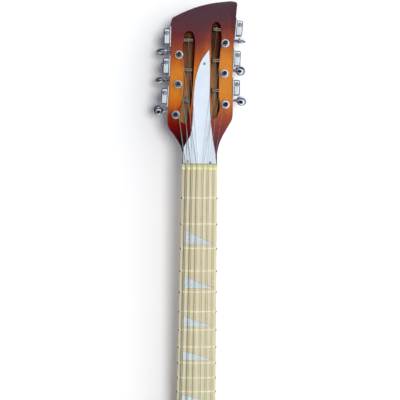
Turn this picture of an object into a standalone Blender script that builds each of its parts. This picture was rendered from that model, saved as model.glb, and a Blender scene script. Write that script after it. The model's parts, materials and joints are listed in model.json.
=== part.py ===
"""Twelve-string electric guitar, lying on its back with the strings up.

The neck runs along +Y, the treble side is +X and +Z is up. The origin is on the
flat back of the body, on the centre line, under the line of the bridge saddles.
"""
import math

import bmesh
import bpy
from mathutils import Matrix, Vector

ROUND_SIDES = 8

# Clearance between pieces that touch, and between a turning piece and its bearing
SEAT_GAP = 0.0003
RUN_GAP = 0.0003

# String scale and fingerboard
SCALE_LENGTH = 0.62865
FRET_COUNT = 21
NUT_WIDTH = 0.0430
WIDTH_AT_FRET_12 = 0.0510
BOARD_THICKNESS = 0.0055
BOARD_RADIUS = 0.254
BOARD_OVERHANG = 0.008
FRET_HEIGHT = 0.0010
FRET_WIDTH = 0.0024
FRET_SINK = 0.0005
FRET_INSET = 0.0006
NUT_LENGTH = 0.0058
NUT_HEIGHT = 0.0026
ACTION_AT_NUT = 0.0015
ACTION_AT_BRIDGE = 0.0041

# Courses: each is a pair of strings, from the bass side to the treble side
COURSE_SPAN_NUT = 0.0330
COURSE_SPAN_BRIDGE = 0.0480
PAIR_SPACING_NUT = 0.0019
PAIR_SPACING_BRIDGE = 0.0025
PAIR_SPACING_TAIL = 0.0037
STRING_GAUGES = [
    (0.00107, 0.00066), (0.00086, 0.00043), (0.00066, 0.00030),
    (0.00043, 0.00025), (0.00033, 0.00033), (0.00028, 0.00028),
]
BALL_RADIUS = 0.0019
STRING_SIDES_RESOLUTION = 1
WIND_TURNS = 2.25
WIND_POINTS_PER_TURN = 8
WIND_SPARE = 0.00050

# Neck
NECK_DEPTH_AT_NUT = 0.0155
NECK_DEPTH_AT_BODY = 0.0180
HEEL_DEPTH = 0.0250
HEEL_LENGTH = 0.036
TENON_LENGTH = 0.046
NECK_SECTION_POINTS = 12
NECK_SQUARENESS = 2.3
HEEL_SQUARENESS = 12.0
HEAD_ANGLE = math.radians(10.0)
HEAD_DROP = 0.0060
HEAD_THICKNESS = 0.0160
CHANNEL_DEPTH = 0.0115
COVER_THICKNESS = 0.0015

# Truss rod
ROD_RADIUS = 0.0025
ROD_DEPTH = 0.0072
ROD_NUT_RADIUS = 0.0035
ROD_NUT_LENGTH = 0.009
ROD_POCKET_WIDTH = 0.0090
ROD_POCKET_START = 0.009
ROD_POCKET_LENGTH = 0.023

# Tuners, in a frame with its origin where the post's axis meets the wood
WORM_OFFSET = 0.0068
WORM_DROP = 0.0050
WORM_CREST_RADIUS = 0.0029
WORM_SHAFT_RADIUS = 0.0018
WORM_THREAD_TURNS = 2.0
WHEEL_TEETH = 14
WHEEL_TIP_RADIUS = 0.00475
WHEEL_ROOT_RADIUS = 0.0033
WHEEL_THICKNESS = 0.0024
POST_RADIUS = 0.0030
COLLAR_RADIUS = 0.0042
FERRULE_RADIUS = 0.0053
FERRULE_HEIGHT = 0.0018
FACE_POST_HEIGHT = 0.0095
FACE_WIND_HEIGHT = 0.0062
SLOT_COLLAR_LENGTH = 0.0145
SLOT_POST_END_GAP = 0.0020
SLOT_POST_DROP = 0.0060
TUNER_PLATE_THICKNESS = 0.0010
TUNER_PLATE_LENGTH = 0.0250
TUNER_PLATE_WIDTH = 0.0130
CASE_HALF_WIDTH = 0.0060
CASE_NEAR_END = 0.0068
CASE_FAR_END = 0.0125
CASE_HEIGHT = 0.0080
CASE_WALL = 0.0008
CASE_BEVEL = 0.0016
BUTTON_REACH = 0.0215
BUTTON_LENGTH = 0.0125
BUTTON_HALF_WIDTH = 0.0068
BUTTON_HALF_THICKNESS = 0.0038

# Posts on the head's face: name, distance across and along the head, button turn in degrees
FACE_TUNERS = [
    ("face_bass_1", -0.0299, 0.0656, 20.0), ("face_bass_2", -0.0271, 0.1025, 62.0),
    ("face_bass_3", -0.0262, 0.1380, 75.0), ("face_treble_1", 0.0310, 0.0786, 15.0),
    ("face_treble_2", 0.0292, 0.1161, 5.0), ("face_treble_3", 0.0299, 0.1527, 60.0),
]
# Posts across the channels: name, side, distance along the head, where the string winds
# across the head, button turn in degrees
SLOT_TUNERS = [
    ("slot_bass_1", -1, 0.0850, 0.0175, 30.0), ("slot_bass_2", -1, 0.1219, 0.0155, 80.0),
    ("slot_bass_3", -1, 0.1574, 0.0155, 0.0), ("slot_treble_1", 1, 0.0966, 0.0185, 55.0),
    ("slot_treble_2", 1, 0.1322, 0.0185, 10.0), ("slot_treble_3", 1, 0.1690, 0.0200, 90.0),
]
# Which posts each course runs to, from the bass side: the outer string, then the inner one
COURSE_POSTS = [
    ("face_bass_1", "slot_bass_1"), ("face_bass_2", "slot_bass_2"), ("face_bass_3", "slot_bass_3"),
    ("face_treble_3", "slot_treble_3"), ("face_treble_2", "slot_treble_2"),
    ("face_treble_1", "slot_treble_1"),
]

# Outlines; a third value marks a sharp corner
CORNER = True
HEAD_OUTLINE = [
    (0.0209, -0.0030, CORNER), (0.0207, 0.0080), (0.0213, 0.0180), (0.0252, 0.0341),
    (0.0340, 0.0510), (0.0392, 0.0605), (0.0403, 0.0700), (0.0394, 0.0960), (0.0395, 0.1340),
    (0.0413, 0.1640), (0.0443, 0.2000, CORNER), (0.0434, 0.2038, CORNER), (0.0270, 0.2030),
    (0.0130, 0.2010), (-0.0010, 0.1976), (-0.0150, 0.1925), (-0.0310, 0.1849, CORNER),
    (-0.0358, 0.1805, CORNER), (-0.0361, 0.1460), (-0.0372, 0.1120), (-0.0395, 0.0720),
    (-0.0401, 0.0575), (-0.0388, 0.0506), (-0.0318, 0.0406), (-0.0228, 0.0255), (-0.0209, 0.0170),
    (-0.0209, -0.0030, CORNER),
]
BASS_CHANNEL = [
    (-0.0132, 0.0660), (-0.0109, 0.0800), (-0.0086, 0.1080), (-0.0074, 0.1360), (-0.0075, 0.1590),
    (-0.0093, 0.1648), (-0.0142, 0.1672), (-0.0189, 0.1646), (-0.0206, 0.1580), (-0.0202, 0.1210),
    (-0.0214, 0.0860), (-0.0264, 0.0616), (-0.0225, 0.0563), (-0.0165, 0.0550),
]
TREBLE_CHANNEL = [
    (0.0224, 0.0680), (0.0227, 0.0940), (0.0230, 0.1300), (0.0247, 0.1700), (0.0232, 0.1762),
    (0.0188, 0.1788), (0.0149, 0.1764), (0.0133, 0.1700), (0.0126, 0.1400), (0.0123, 0.1100),
    (0.0123, 0.0760), (0.0138, 0.0650), (0.0180, 0.0615),
]
COVER_OUTLINE = [
    (0.0204, 0.0062, CORNER), (0.0188, 0.0200), (0.0159, 0.0354), (0.0136, 0.0520),
    (0.0119, 0.0730), (0.0114, 0.0940), (0.0114, 0.1220), (0.0103, 0.1446, CORNER),
    (0.0024, 0.1340), (-0.0045, 0.1160), (-0.0081, 0.0908), (-0.0089, 0.0660), (-0.0102, 0.0477),
    (-0.0126, 0.0386), (-0.0171, 0.0316), (-0.0201, 0.0238), (-0.0205, 0.0062, CORNER),
]
BODY_HALF_OUTLINE = [
    (0.0000, -0.1500), (0.0600, -0.1470), (0.1180, -0.1270), (0.1550, -0.0860), (0.1660, -0.0350),
    (0.1530, 0.0200), (0.1310, 0.0660), (0.1240, 0.1100), (0.1320, 0.1600), (0.1390, 0.2050),
    (0.1280, 0.2430), (0.1040, 0.2600), (0.0780, 0.2510), (0.0590, 0.2270), (0.0440, 0.2110),
    (0.0300, 0.2060, CORNER),
]
GUARD_OUTLINE = [
    (0.0520, 0.1580), (0.0470, 0.1400), (0.0465, 0.0600), (0.0475, -0.0300), (0.0520, -0.0700),
    (0.0640, -0.1040), (0.0920, -0.1190), (0.1240, -0.1040), (0.1460, -0.0660), (0.1510, -0.0280),
    (0.1390, 0.0140), (0.1180, 0.0580), (0.1100, 0.1040), (0.1080, 0.1400), (0.0860, 0.1630),
]
OUTLINE_TURN_PER_STEP = 0.30

# Body and what is on it
BODY_THICKNESS = 0.0340
BODY_EDGE = 0.0040
BOARD_TOP_OVER_BODY = 0.0090
PLATE_THICKNESS = 0.0020
PICKUP_LENGTH = 0.0700
PICKUP_WIDTH = 0.0280
PICKUP_DEPTH = 0.0160
PICKUP_RISE = 0.0085
PICKUP_FLANGE = 0.0060
NECK_PICKUP_Y = 0.1360
BRIDGE_PICKUP_Y = 0.0420
BRIDGE_BASE_LENGTH = 0.0840
BRIDGE_BASE_FRONT = 0.0100
BRIDGE_BASE_BACK = 0.0180
SADDLE_LENGTH = 0.0600
SADDLE_WIDTH = 0.0070
SADDLE_OVER_STRING = 0.0008
SADDLE_SHOULDER = 0.0020
TAIL_WEB_Y = -0.0560
TAIL_WEB_THICKNESS = 0.0040
TAIL_WEB_HEIGHT = 0.0085
TAIL_SLOT_HEIGHT = 0.0060
TAIL_LENGTH = 0.0660
TAIL_PLATE_BACK = 0.0340
TAIL_PLATE_FRONT = 0.0040
POT_POSITIONS = [(0.080, -0.012), (0.119, -0.024), (0.076, -0.060), (0.112, -0.074)]
POT_RADIUS = 0.0090
POT_DEPTH = 0.0100
POT_COLLAR_RADIUS = 0.0042
POT_COLLAR_HEIGHT = 0.0020
POT_SHAFT_RADIUS = 0.0030
POT_FLOOR = 0.0020
KNOB_RADIUS = 0.0110
KNOB_TOP_RADIUS = 0.0092
KNOB_HEIGHT = 0.0130
CONTROL_CAVITY = (0.0600, -0.0920, 0.1340, 0.0140)
CONTROL_CAVITY_DEPTH = 0.0240
SWITCH_POSITION = (0.088, 0.118)
SWITCH_BODY = 0.0160
SWITCH_BODY_DEPTH = 0.0100
SWITCH_COLLAR_RADIUS = 0.0056
SWITCH_COLLAR_HEIGHT = 0.0030
SWITCH_PIVOT_RADIUS = 0.0031
SWITCH_LEVER_LENGTH = 0.0170
JACK_BORE_RADIUS = 0.0033
JACK_BORE_DEPTH = 0.0400
JACK_BARREL_RADIUS = 0.0060
JACK_BARREL_LENGTH = 0.0340
JACK_FLANGE_RADIUS = 0.0105
JACK_FLANGE_THICKNESS = 0.0020
JACK_NECK_RADIUS = 0.0058
JACK_NECK_LENGTH = 0.0080
JACK_CAP_RADIUS = 0.0090
JACK_CAP_LENGTH = 0.0035
STRAP_SCREW_RADIUS = 0.0020
STRAP_SCREW_LENGTH = 0.0180
STRAP_BASE_RADIUS = 0.0070
STRAP_NECK_RADIUS = 0.0038
STRAP_CAP_RADIUS = 0.0075
STRAP_HEIGHT = 0.0125

# Places worked out from the sizes above
NUT_Y = SCALE_LENGTH
BOARD_TOP = BODY_THICKNESS + BOARD_TOP_OVER_BODY
NECK_TOP = BOARD_TOP - BOARD_THICKNESS - SEAT_GAP
BODY_FRONT_Y = BODY_HALF_OUTLINE[-1][1]
BODY_TAIL_Y = BODY_HALF_OUTLINE[0][1]
TENON_END_Y = BODY_FRONT_Y - TENON_LENGTH
HEAD_ORIGIN = Vector((0.0, NUT_Y, BOARD_TOP - HEAD_DROP))
HEAD_U = Vector((1.0, 0.0, 0.0))
HEAD_V = Vector((0.0, math.cos(HEAD_ANGLE), -math.sin(HEAD_ANGLE)))
HEAD_W = Vector((0.0, math.sin(HEAD_ANGLE), math.cos(HEAD_ANGLE)))


def start_scene():
    """Empty the scene, and make one collection for the guitar and one for its cutters."""
    for item in list(bpy.data.objects):
        bpy.data.objects.remove(item, do_unlink=True)
    collections = []
    for name in ("twelve_string_guitar", "cutters"):
        collection = bpy.data.collections.new(name)
        bpy.context.scene.collection.children.link(collection)
        collections.append(collection)
    return collections


PARTS, CUTTERS = start_scene()


def finish(name, color, metallic, roughness):
    """One plain material for a node."""
    material = bpy.data.materials.new(name)
    material.use_nodes = True
    shader = material.node_tree.nodes["Principled BSDF"]
    shader.inputs["Base Color"].default_value = (*color, 1.0)
    shader.inputs["Metallic"].default_value = metallic
    shader.inputs["Roughness"].default_value = roughness
    return material


def sunburst_wood(name):
    return finish(name, (0.55, 0.16, 0.04), 0.0, 0.25)


def pale_maple(name):
    return finish(name, (0.62, 0.52, 0.34), 0.0, 0.35)


def chrome(name):
    return finish(name, (0.80, 0.82, 0.84), 1.0, 0.15)


def steel(name):
    return finish(name, (0.60, 0.60, 0.60), 1.0, 0.35)


def white_plastic(name):
    return finish(name, (0.82, 0.86, 0.90), 0.0, 0.25)


def black_plastic(name):
    return finish(name, (0.02, 0.02, 0.02), 0.0, 0.35)


def bone(name):
    return finish(name, (0.80, 0.74, 0.50), 0.0, 0.40)


def add_part(name, mesh, material, matrix=None, parent=None):
    """A node of the guitar from a mesh, with its own material."""
    part = bpy.data.objects.new(name, mesh)
    PARTS.objects.link(part)
    if not mesh.materials:
        mesh.materials.append(material)
    part.parent = parent
    if matrix is not None:
        part.matrix_local = matrix
    for polygon in mesh.polygons:
        polygon.use_smooth = False
    return part


def add_cutter(name, mesh, matrix=None):
    """A shape that is only used by Boolean modifiers."""
    cutter = bpy.data.objects.new(name, mesh)
    CUTTERS.objects.link(cutter)
    if matrix is not None:
        cutter.matrix_world = matrix
    cutter.hide_render = True
    cutter.display_type = "WIRE"
    return cutter


def boolean(part, cutter, operation):
    modifier = part.modifiers.new(f"{operation.lower()}_{cutter.name}", "BOOLEAN")
    modifier.operation = operation
    modifier.object = cutter
    modifier.solver = "EXACT"


def cut(part, cutter):
    boolean(part, cutter, "DIFFERENCE")


def join(part, piece):
    boolean(part, piece, "UNION")


def mesh_from(bm, name):
    bmesh.ops.recalc_face_normals(bm, faces=bm.faces)
    mesh = bpy.data.meshes.new(name)
    bm.to_mesh(mesh)
    bm.free()
    return mesh


def box(name, low, high, bevel=0.0):
    """A box between two corners; a bevel takes every edge but those of its top."""
    low = Vector(low)
    high = Vector(high)
    bm = bmesh.new()
    bmesh.ops.create_cube(bm, size=1.0)
    bmesh.ops.scale(bm, vec=high - low, verts=bm.verts)
    bmesh.ops.translate(bm, vec=(low + high) / 2, verts=bm.verts)
    if bevel:
        edges = [edge for edge in bm.edges if min(v.co.z for v in edge.verts) < high.z - bevel]
        bmesh.ops.bevel(bm, geom=edges, offset=bevel, segments=1, affect="EDGES")
    return mesh_from(bm, name)


def cylinder(name, radius, bottom, top, sides, top_radius=None):
    """A cylinder or cone about Z."""
    bm = bmesh.new()
    bmesh.ops.create_cone(bm, cap_ends=True, segments=sides, radius1=radius,
                          radius2=radius if top_radius is None else top_radius, depth=top - bottom)
    bmesh.ops.translate(bm, vec=(0.0, 0.0, (top + bottom) / 2), verts=bm.verts)
    return mesh_from(bm, name)


def turned(name, profile, sides):
    """A turned mesh from (radius, height) points that run down its outer side."""
    data = bpy.data.meshes.new(f"{name}_profile")
    edges = [(i, i + 1) for i in range(len(profile) - 1)]
    data.from_pydata([(radius, 0.0, height) for radius, height in profile], edges, [])
    guide = bpy.data.objects.new(f"{name}_profile", data)
    bpy.context.scene.collection.objects.link(guide)
    screw = guide.modifiers.new("turn", "SCREW")
    screw.steps = sides
    screw.render_steps = sides
    screw.use_merge_vertices = True
    screw.merge_threshold = 0.00001
    return baked(guide, name)


def baked(guide, name):
    """The evaluated mesh of a guide object, welded, with the guide removed."""
    graph = bpy.context.evaluated_depsgraph_get()
    mesh = bpy.data.meshes.new_from_object(guide.evaluated_get(graph))
    mesh.name = name
    mesh.transform(guide.matrix_world)
    bpy.data.objects.remove(guide, do_unlink=True)
    bm = bmesh.new()
    bm.from_mesh(mesh)
    bmesh.ops.remove_doubles(bm, verts=bm.verts, dist=0.000001)
    bmesh.ops.dissolve_degenerate(bm, edges=bm.edges, dist=0.000001)
    bmesh.ops.recalc_face_normals(bm, faces=bm.faces)
    bm.to_mesh(mesh)
    bm.free()
    return mesh


def smooth_outline(keys):
    """A closed line through key points, curved except at the marked corners."""
    points = [Vector((key[0], key[1])) for key in keys]
    sharp = [len(key) > 2 for key in keys]
    count = len(points)
    tangents = []
    for i in range(count):
        before = points[i] - points[i - 1]
        after = points[(i + 1) % count] - points[i]
        blend = before.normalized() * after.length + after.normalized() * before.length
        tangents.append(blend.normalized())
    line = []
    for i in range(count):
        j = (i + 1) % count
        chord = points[j] - points[i]
        leave = chord.normalized() if sharp[i] else tangents[i]
        arrive = chord.normalized() if sharp[j] else tangents[j]
        turn = leave.angle(chord) + chord.angle(arrive)
        steps = max(1, math.ceil(turn / OUTLINE_TURN_PER_STEP))
        for step in range(steps):
            t = step / steps
            line.append((2 * t ** 3 - 3 * t ** 2 + 1) * points[i]
                        + (3 * t ** 2 - 2 * t ** 3) * points[j]
                        + (t ** 3 - 2 * t ** 2 + t) * chord.length * leave
                        + (t ** 3 - t ** 2) * chord.length * arrive)
    return line


def slab(name, line, bottom, top, edge=0.0):
    """A flat solid between two heights, from a closed line, with chamfered rims."""
    curve = bpy.data.curves.new(name, "CURVE")
    curve.dimensions = "2D"
    curve.fill_mode = "BOTH"
    curve.extrude = (top - bottom) / 2 - edge
    curve.bevel_depth = edge
    curve.bevel_resolution = 0
    curve.offset = -edge
    spline = curve.splines.new("POLY")
    spline.points.add(len(line) - 1)
    for point, place in zip(spline.points, line):
        point.co = (place.x, place.y, 0.0, 1.0)
    spline.use_cyclic_u = True
    guide = bpy.data.objects.new(name, curve)
    bpy.context.scene.collection.objects.link(guide)
    guide.location.z = (top + bottom) / 2
    bpy.context.view_layer.update()
    return baked(guide, name)


def loft(name, rings):
    """A closed solid through rings of as many points each, capped at both ends."""
    bm = bmesh.new()
    rows = [[bm.verts.new(point) for point in ring] for ring in rings]
    for near, far in zip(rows, rows[1:]):
        for i in range(len(near)):
            j = (i + 1) % len(near)
            bm.faces.new((near[i], near[j], far[j], far[i]))
    bm.faces.new(list(reversed(rows[0])))
    bm.faces.new(rows[-1])
    return mesh_from(bm, name)


def tube(points, radius, name):
    """A round wire along points, as a closed mesh."""
    curve = bpy.data.curves.new(name, "CURVE")
    curve.dimensions = "3D"
    curve.bevel_depth = radius
    curve.bevel_resolution = STRING_SIDES_RESOLUTION
    curve.use_fill_caps = True
    spline = curve.splines.new("POLY")
    spline.points.add(len(points) - 1)
    for point, place in zip(spline.points, points):
        point.co = (*place, 1.0)
    guide = bpy.data.objects.new(name, curve)
    bpy.context.scene.collection.objects.link(guide)
    return baked(guide, name)


def frame_matrix(origin, x_axis, y_axis, z_axis):
    matrix = Matrix((x_axis, y_axis, z_axis)).transposed().to_4x4()
    matrix.translation = origin
    return matrix


HEAD = frame_matrix(HEAD_ORIGIN, HEAD_U, HEAD_V, HEAD_W)


def half_width(y):
    """Half the width of the neck and fingerboard at a place along the neck."""
    growth = (WIDTH_AT_FRET_12 - NUT_WIDTH) / (SCALE_LENGTH / 2)
    return (NUT_WIDTH + growth * (NUT_Y - y)) / 2


def crown_drop(x):
    """How far the round of the board, nut and saddles falls below its middle."""
    return BOARD_RADIUS - math.sqrt(BOARD_RADIUS ** 2 - x ** 2)


def fret_y(number):
    return NUT_Y - SCALE_LENGTH * (1.0 - 2.0 ** (-number / 12.0))


BOARD_END_Y = fret_y(FRET_COUNT) - BOARD_OVERHANG


def strings():
    """Course, gauge and place at the nut, bridge and tail of each of the twelve strings."""
    rows = []
    last = len(STRING_GAUGES) - 1
    for course, gauges in enumerate(STRING_GAUGES):
        across = course / last - 0.5
        side = -1 if course <= last // 2 else 1
        for outer, gauge in zip((1, -1), gauges):
            shift = side * outer / 2
            rows.append({
                "course": course,
                "radius": gauge / 2,
                "post": COURSE_POSTS[course][0 if outer == 1 else 1],
                "nut_x": across * COURSE_SPAN_NUT + shift * PAIR_SPACING_NUT,
                "bridge_x": across * COURSE_SPAN_BRIDGE + shift * PAIR_SPACING_BRIDGE,
                "tail_x": across * COURSE_SPAN_BRIDGE + shift * PAIR_SPACING_TAIL,
            })
    return rows


STRINGS = strings()


def string_height(x, y, radius):
    """Height of a string's centre line between the nut and the bridge."""
    share = (NUT_Y - y) / SCALE_LENGTH
    action = ACTION_AT_NUT + (ACTION_AT_BRIDGE - ACTION_AT_NUT) * share
    return BOARD_TOP + action - crown_drop(x) + radius


def make_fingerboard():
    """The board with its frets pressed in."""
    across = [-1.0, -0.5, 0.0, 0.5, 1.0]

    def section(y):
        half = half_width(y)
        bottom = BOARD_TOP - BOARD_THICKNESS
        crown = [Vector((half * a, y, BOARD_TOP - crown_drop(half * a))) for a in across]
        return crown + [Vector((half, y, bottom)), Vector((-half, y, bottom))]

    mesh = loft("fingerboard", [section(BOARD_END_Y), section(NUT_Y - SEAT_GAP)])
    board = add_part("fingerboard", mesh, pale_maple("fingerboard"))
    for number in range(1, FRET_COUNT + 1):
        y = fret_y(number)
        half = half_width(y) - FRET_INSET
        rings = []
        for a in across:
            surface = BOARD_TOP - crown_drop(half * a)
            rings.append([
                Vector((half * a, y - FRET_WIDTH / 2, surface - FRET_SINK)),
                Vector((half * a, y - FRET_WIDTH / 4, surface + FRET_HEIGHT)),
                Vector((half * a, y + FRET_WIDTH / 4, surface + FRET_HEIGHT)),
                Vector((half * a, y + FRET_WIDTH / 2, surface - FRET_SINK)),
            ])
        join(board, add_cutter(f"fret_{number}", loft(f"fret_{number}", rings)))
    return board


def neck_section(y, depth, squareness):
    """A D section: a flat top, and a back that is rounder or squarer."""
    half = half_width(y)
    ring = []
    for i in range(NECK_SECTION_POINTS + 1):
        angle = math.pi * i / NECK_SECTION_POINTS
        x = math.copysign(abs(math.cos(angle)) ** (2 / squareness), math.cos(angle))
        z = math.sin(angle) ** (2 / squareness)
        ring.append(Vector((half * x, y, NECK_TOP - depth * z)))
    return ring


def tuner_frames():
    """For each tuner, its frame, its kind, and how far its post and its string reach.

    The frame's Z runs along the post towards the string, X along the worm's shaft
    towards the button, and Y from the post to the worm, which is towards the tip.
    """
    frames = {}
    for name, across, along, turn in FACE_TUNERS:
        side = math.copysign(1.0, across)
        origin = HEAD @ Vector((across, along, -HEAD_THICKNESS))
        frames[name] = {
            "matrix": frame_matrix(origin, side * HEAD_U, HEAD_V, HEAD_W),
            "kind": "face", "hand": side, "turn": turn, "side": side,
            "post_end": HEAD_THICKNESS + FACE_POST_HEIGHT,
            "wind_start": HEAD_THICKNESS + FACE_WIND_HEIGHT,
        }
    outline = smooth_outline(HEAD_OUTLINE)
    channels = {-1: smooth_outline(BASS_CHANNEL), 1: smooth_outline(TREBLE_CHANNEL)}
    for name, side, along, wind_at, turn in SLOT_TUNERS:
        near = crossing(outline, along - TUNER_PLATE_LENGTH / 2, side)
        far = crossing(outline, along + TUNER_PLATE_LENGTH / 2, side)
        edge = max(side * crossing(outline, along, side).x, side * (near.x + far.x) / 2)
        slope = (far - near).normalized()
        y_axis = HEAD_U * slope.x + HEAD_V * slope.y
        z_axis = (HEAD_U * slope.y - HEAD_V * slope.x) * -side
        origin = HEAD @ Vector((side * edge, along, -SLOT_POST_DROP))
        inner_wall = side * crossing(channels[side], along, -side).x
        frames[name] = {
            "matrix": frame_matrix(origin, -HEAD_W, y_axis, z_axis),
            "kind": "slot", "hand": -side, "turn": turn, "side": side,
            "post_end": edge - inner_wall - SLOT_POST_END_GAP,
            "wind_start": edge - wind_at,
        }
    return frames


def crossing(line, v, side):
    """Where a closed line is furthest to one side at a distance along the head."""
    found = []
    for a, b in zip(line, line[1:] + line[:1]):
        if (a.y - v) * (b.y - v) <= 0 and a.y != b.y:
            found.append(a.lerp(b, (v - a.y) / (b.y - a.y)))
    return max(found, key=lambda point: side * point.x)


TUNERS = tuner_frames()


def make_neck():
    """Neck, heel, tenon and head as one piece of wood, with its bores and channels."""
    heel_start = BODY_FRONT_Y + HEEL_LENGTH
    rings = [
        neck_section(TENON_END_Y, HEEL_DEPTH, HEEL_SQUARENESS),
        neck_section(BODY_FRONT_Y - SEAT_GAP, HEEL_DEPTH, HEEL_SQUARENESS),
        neck_section(BODY_FRONT_Y + HEEL_LENGTH / 2, (HEEL_DEPTH + NECK_DEPTH_AT_BODY) / 2, 2 * NECK_SQUARENESS),
        neck_section(heel_start, NECK_DEPTH_AT_BODY, NECK_SQUARENESS),
        neck_section(NUT_Y, NECK_DEPTH_AT_NUT, NECK_SQUARENESS),
        neck_section(NUT_Y + NUT_LENGTH, NECK_DEPTH_AT_NUT, NECK_SQUARENESS),
    ]
    neck = add_part("neck", loft("neck", rings), sunburst_wood("neck"))
    head = slab("head", smooth_outline(HEAD_OUTLINE), -HEAD_THICKNESS, 0.0)
    join(neck, add_cutter("head", head, HEAD))

    nut_seat = box("nut_seat", (-NUT_WIDTH, NUT_Y - HEAD_DROP, NECK_TOP),
                   (NUT_WIDTH, NUT_Y + NUT_LENGTH + SEAT_GAP, BOARD_TOP))
    cut(neck, add_cutter("nut_seat", nut_seat))
    for name, keys in (("bass_channel", BASS_CHANNEL), ("treble_channel", TREBLE_CHANNEL)):
        channel = slab(name, smooth_outline(keys), -CHANNEL_DEPTH, COVER_THICKNESS)
        cut(neck, add_cutter(name, channel, HEAD))
    for name, tuner in TUNERS.items():
        reach = HEAD_THICKNESS + COVER_THICKNESS
        if tuner["kind"] == "slot":
            reach = SLOT_COLLAR_LENGTH + 4 * POST_RADIUS
            reach = max(reach, tuner["wind_start"])
        bore = cylinder(f"bore_{name}", COLLAR_RADIUS + SEAT_GAP, -CASE_BEVEL, reach, ROUND_SIDES)
        cut(neck, add_cutter(f"bore_{name}", bore, tuner["matrix"]))
    rod_way = box("rod_way", (-ROD_RADIUS - SEAT_GAP, BOARD_END_Y, rod_z() - ROD_RADIUS - SEAT_GAP),
                  (ROD_RADIUS + SEAT_GAP, NUT_Y + ROD_POCKET_START, BOARD_TOP))
    cut(neck, add_cutter("rod_way", rod_way))
    half = ROD_POCKET_WIDTH / 2
    pocket = box("rod_pocket", (-half, NUT_Y + ROD_POCKET_START - SEAT_GAP, rod_z() - half),
                 (half, NUT_Y + ROD_POCKET_START + ROD_POCKET_LENGTH, BOARD_TOP))
    cut(neck, add_cutter("rod_pocket", pocket))
    return neck


def rod_z():
    return NECK_TOP - ROD_DEPTH


def make_truss_rod():
    """The rod under the board, with its adjusting nut in the pocket under the cover."""
    start = BOARD_END_Y + SEAT_GAP
    nut_start = NUT_Y + ROD_POCKET_START
    turn = Matrix.Rotation(math.radians(-90.0), 4, "X")
    place = Matrix.Translation((0.0, 0.0, rod_z())) @ turn
    rod = add_part("truss_rod", cylinder("truss_rod", ROD_RADIUS, start, nut_start + SEAT_GAP, 8),
                   steel("truss_rod"), place)
    nut = cylinder("rod_nut", ROD_NUT_RADIUS, nut_start, nut_start + ROD_NUT_LENGTH, 6)
    join(rod, add_cutter("rod_nut", nut, place))
    return rod


def make_nut():
    """The slotted block at the end of the board."""
    top = BOARD_TOP + NUT_HEIGHT
    half = NUT_WIDTH / 2
    across = [-1.0, -0.5, 0.0, 0.5, 1.0]
    rings = []
    for a in across:
        x = half * a
        low = NECK_TOP + SEAT_GAP
        high = top - crown_drop(x)
        rings.append([Vector((x, NUT_Y, low)), Vector((x, NUT_Y, high)),
                      Vector((x, NUT_Y + NUT_LENGTH, high - NUT_HEIGHT / 4)),
                      Vector((x, NUT_Y + NUT_LENGTH, low))])
    nut = add_part("nut", loft("nut", rings), bone("nut"))
    for i, row in enumerate(STRINGS):
        floor = string_height(row["nut_x"], NUT_Y, 0.0) - SEAT_GAP
        wide = row["radius"] + SEAT_GAP
        slot = box(f"nut_slot_{i}", (row["nut_x"] - wide, NUT_Y - NUT_LENGTH, floor),
                   (row["nut_x"] + wide, NUT_Y + 2 * NUT_LENGTH, top + NUT_HEIGHT))
        cut(nut, add_cutter(f"nut_slot_{i}", slot))
    return nut


def make_cover():
    """The white plate over the truss rod's pocket."""
    plate = slab("truss_rod_cover", smooth_outline(COVER_OUTLINE), SEAT_GAP,
                 SEAT_GAP + COVER_THICKNESS)
    return add_part("truss_rod_cover", plate, white_plastic("truss_rod_cover"), HEAD)


def worm_pitch():
    """The thread's pitch, which is the wheel's tooth spacing at its pitch circle."""
    pitch_radius = WORM_OFFSET - (WORM_CREST_RADIUS + WORM_SHAFT_RADIUS + RUN_GAP) / 2
    return 2 * math.pi * min(pitch_radius, WHEEL_TIP_RADIUS) / WHEEL_TEETH


def case_floor():
    return -SEAT_GAP - TUNER_PLATE_THICKNESS - CASE_HEIGHT


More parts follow.
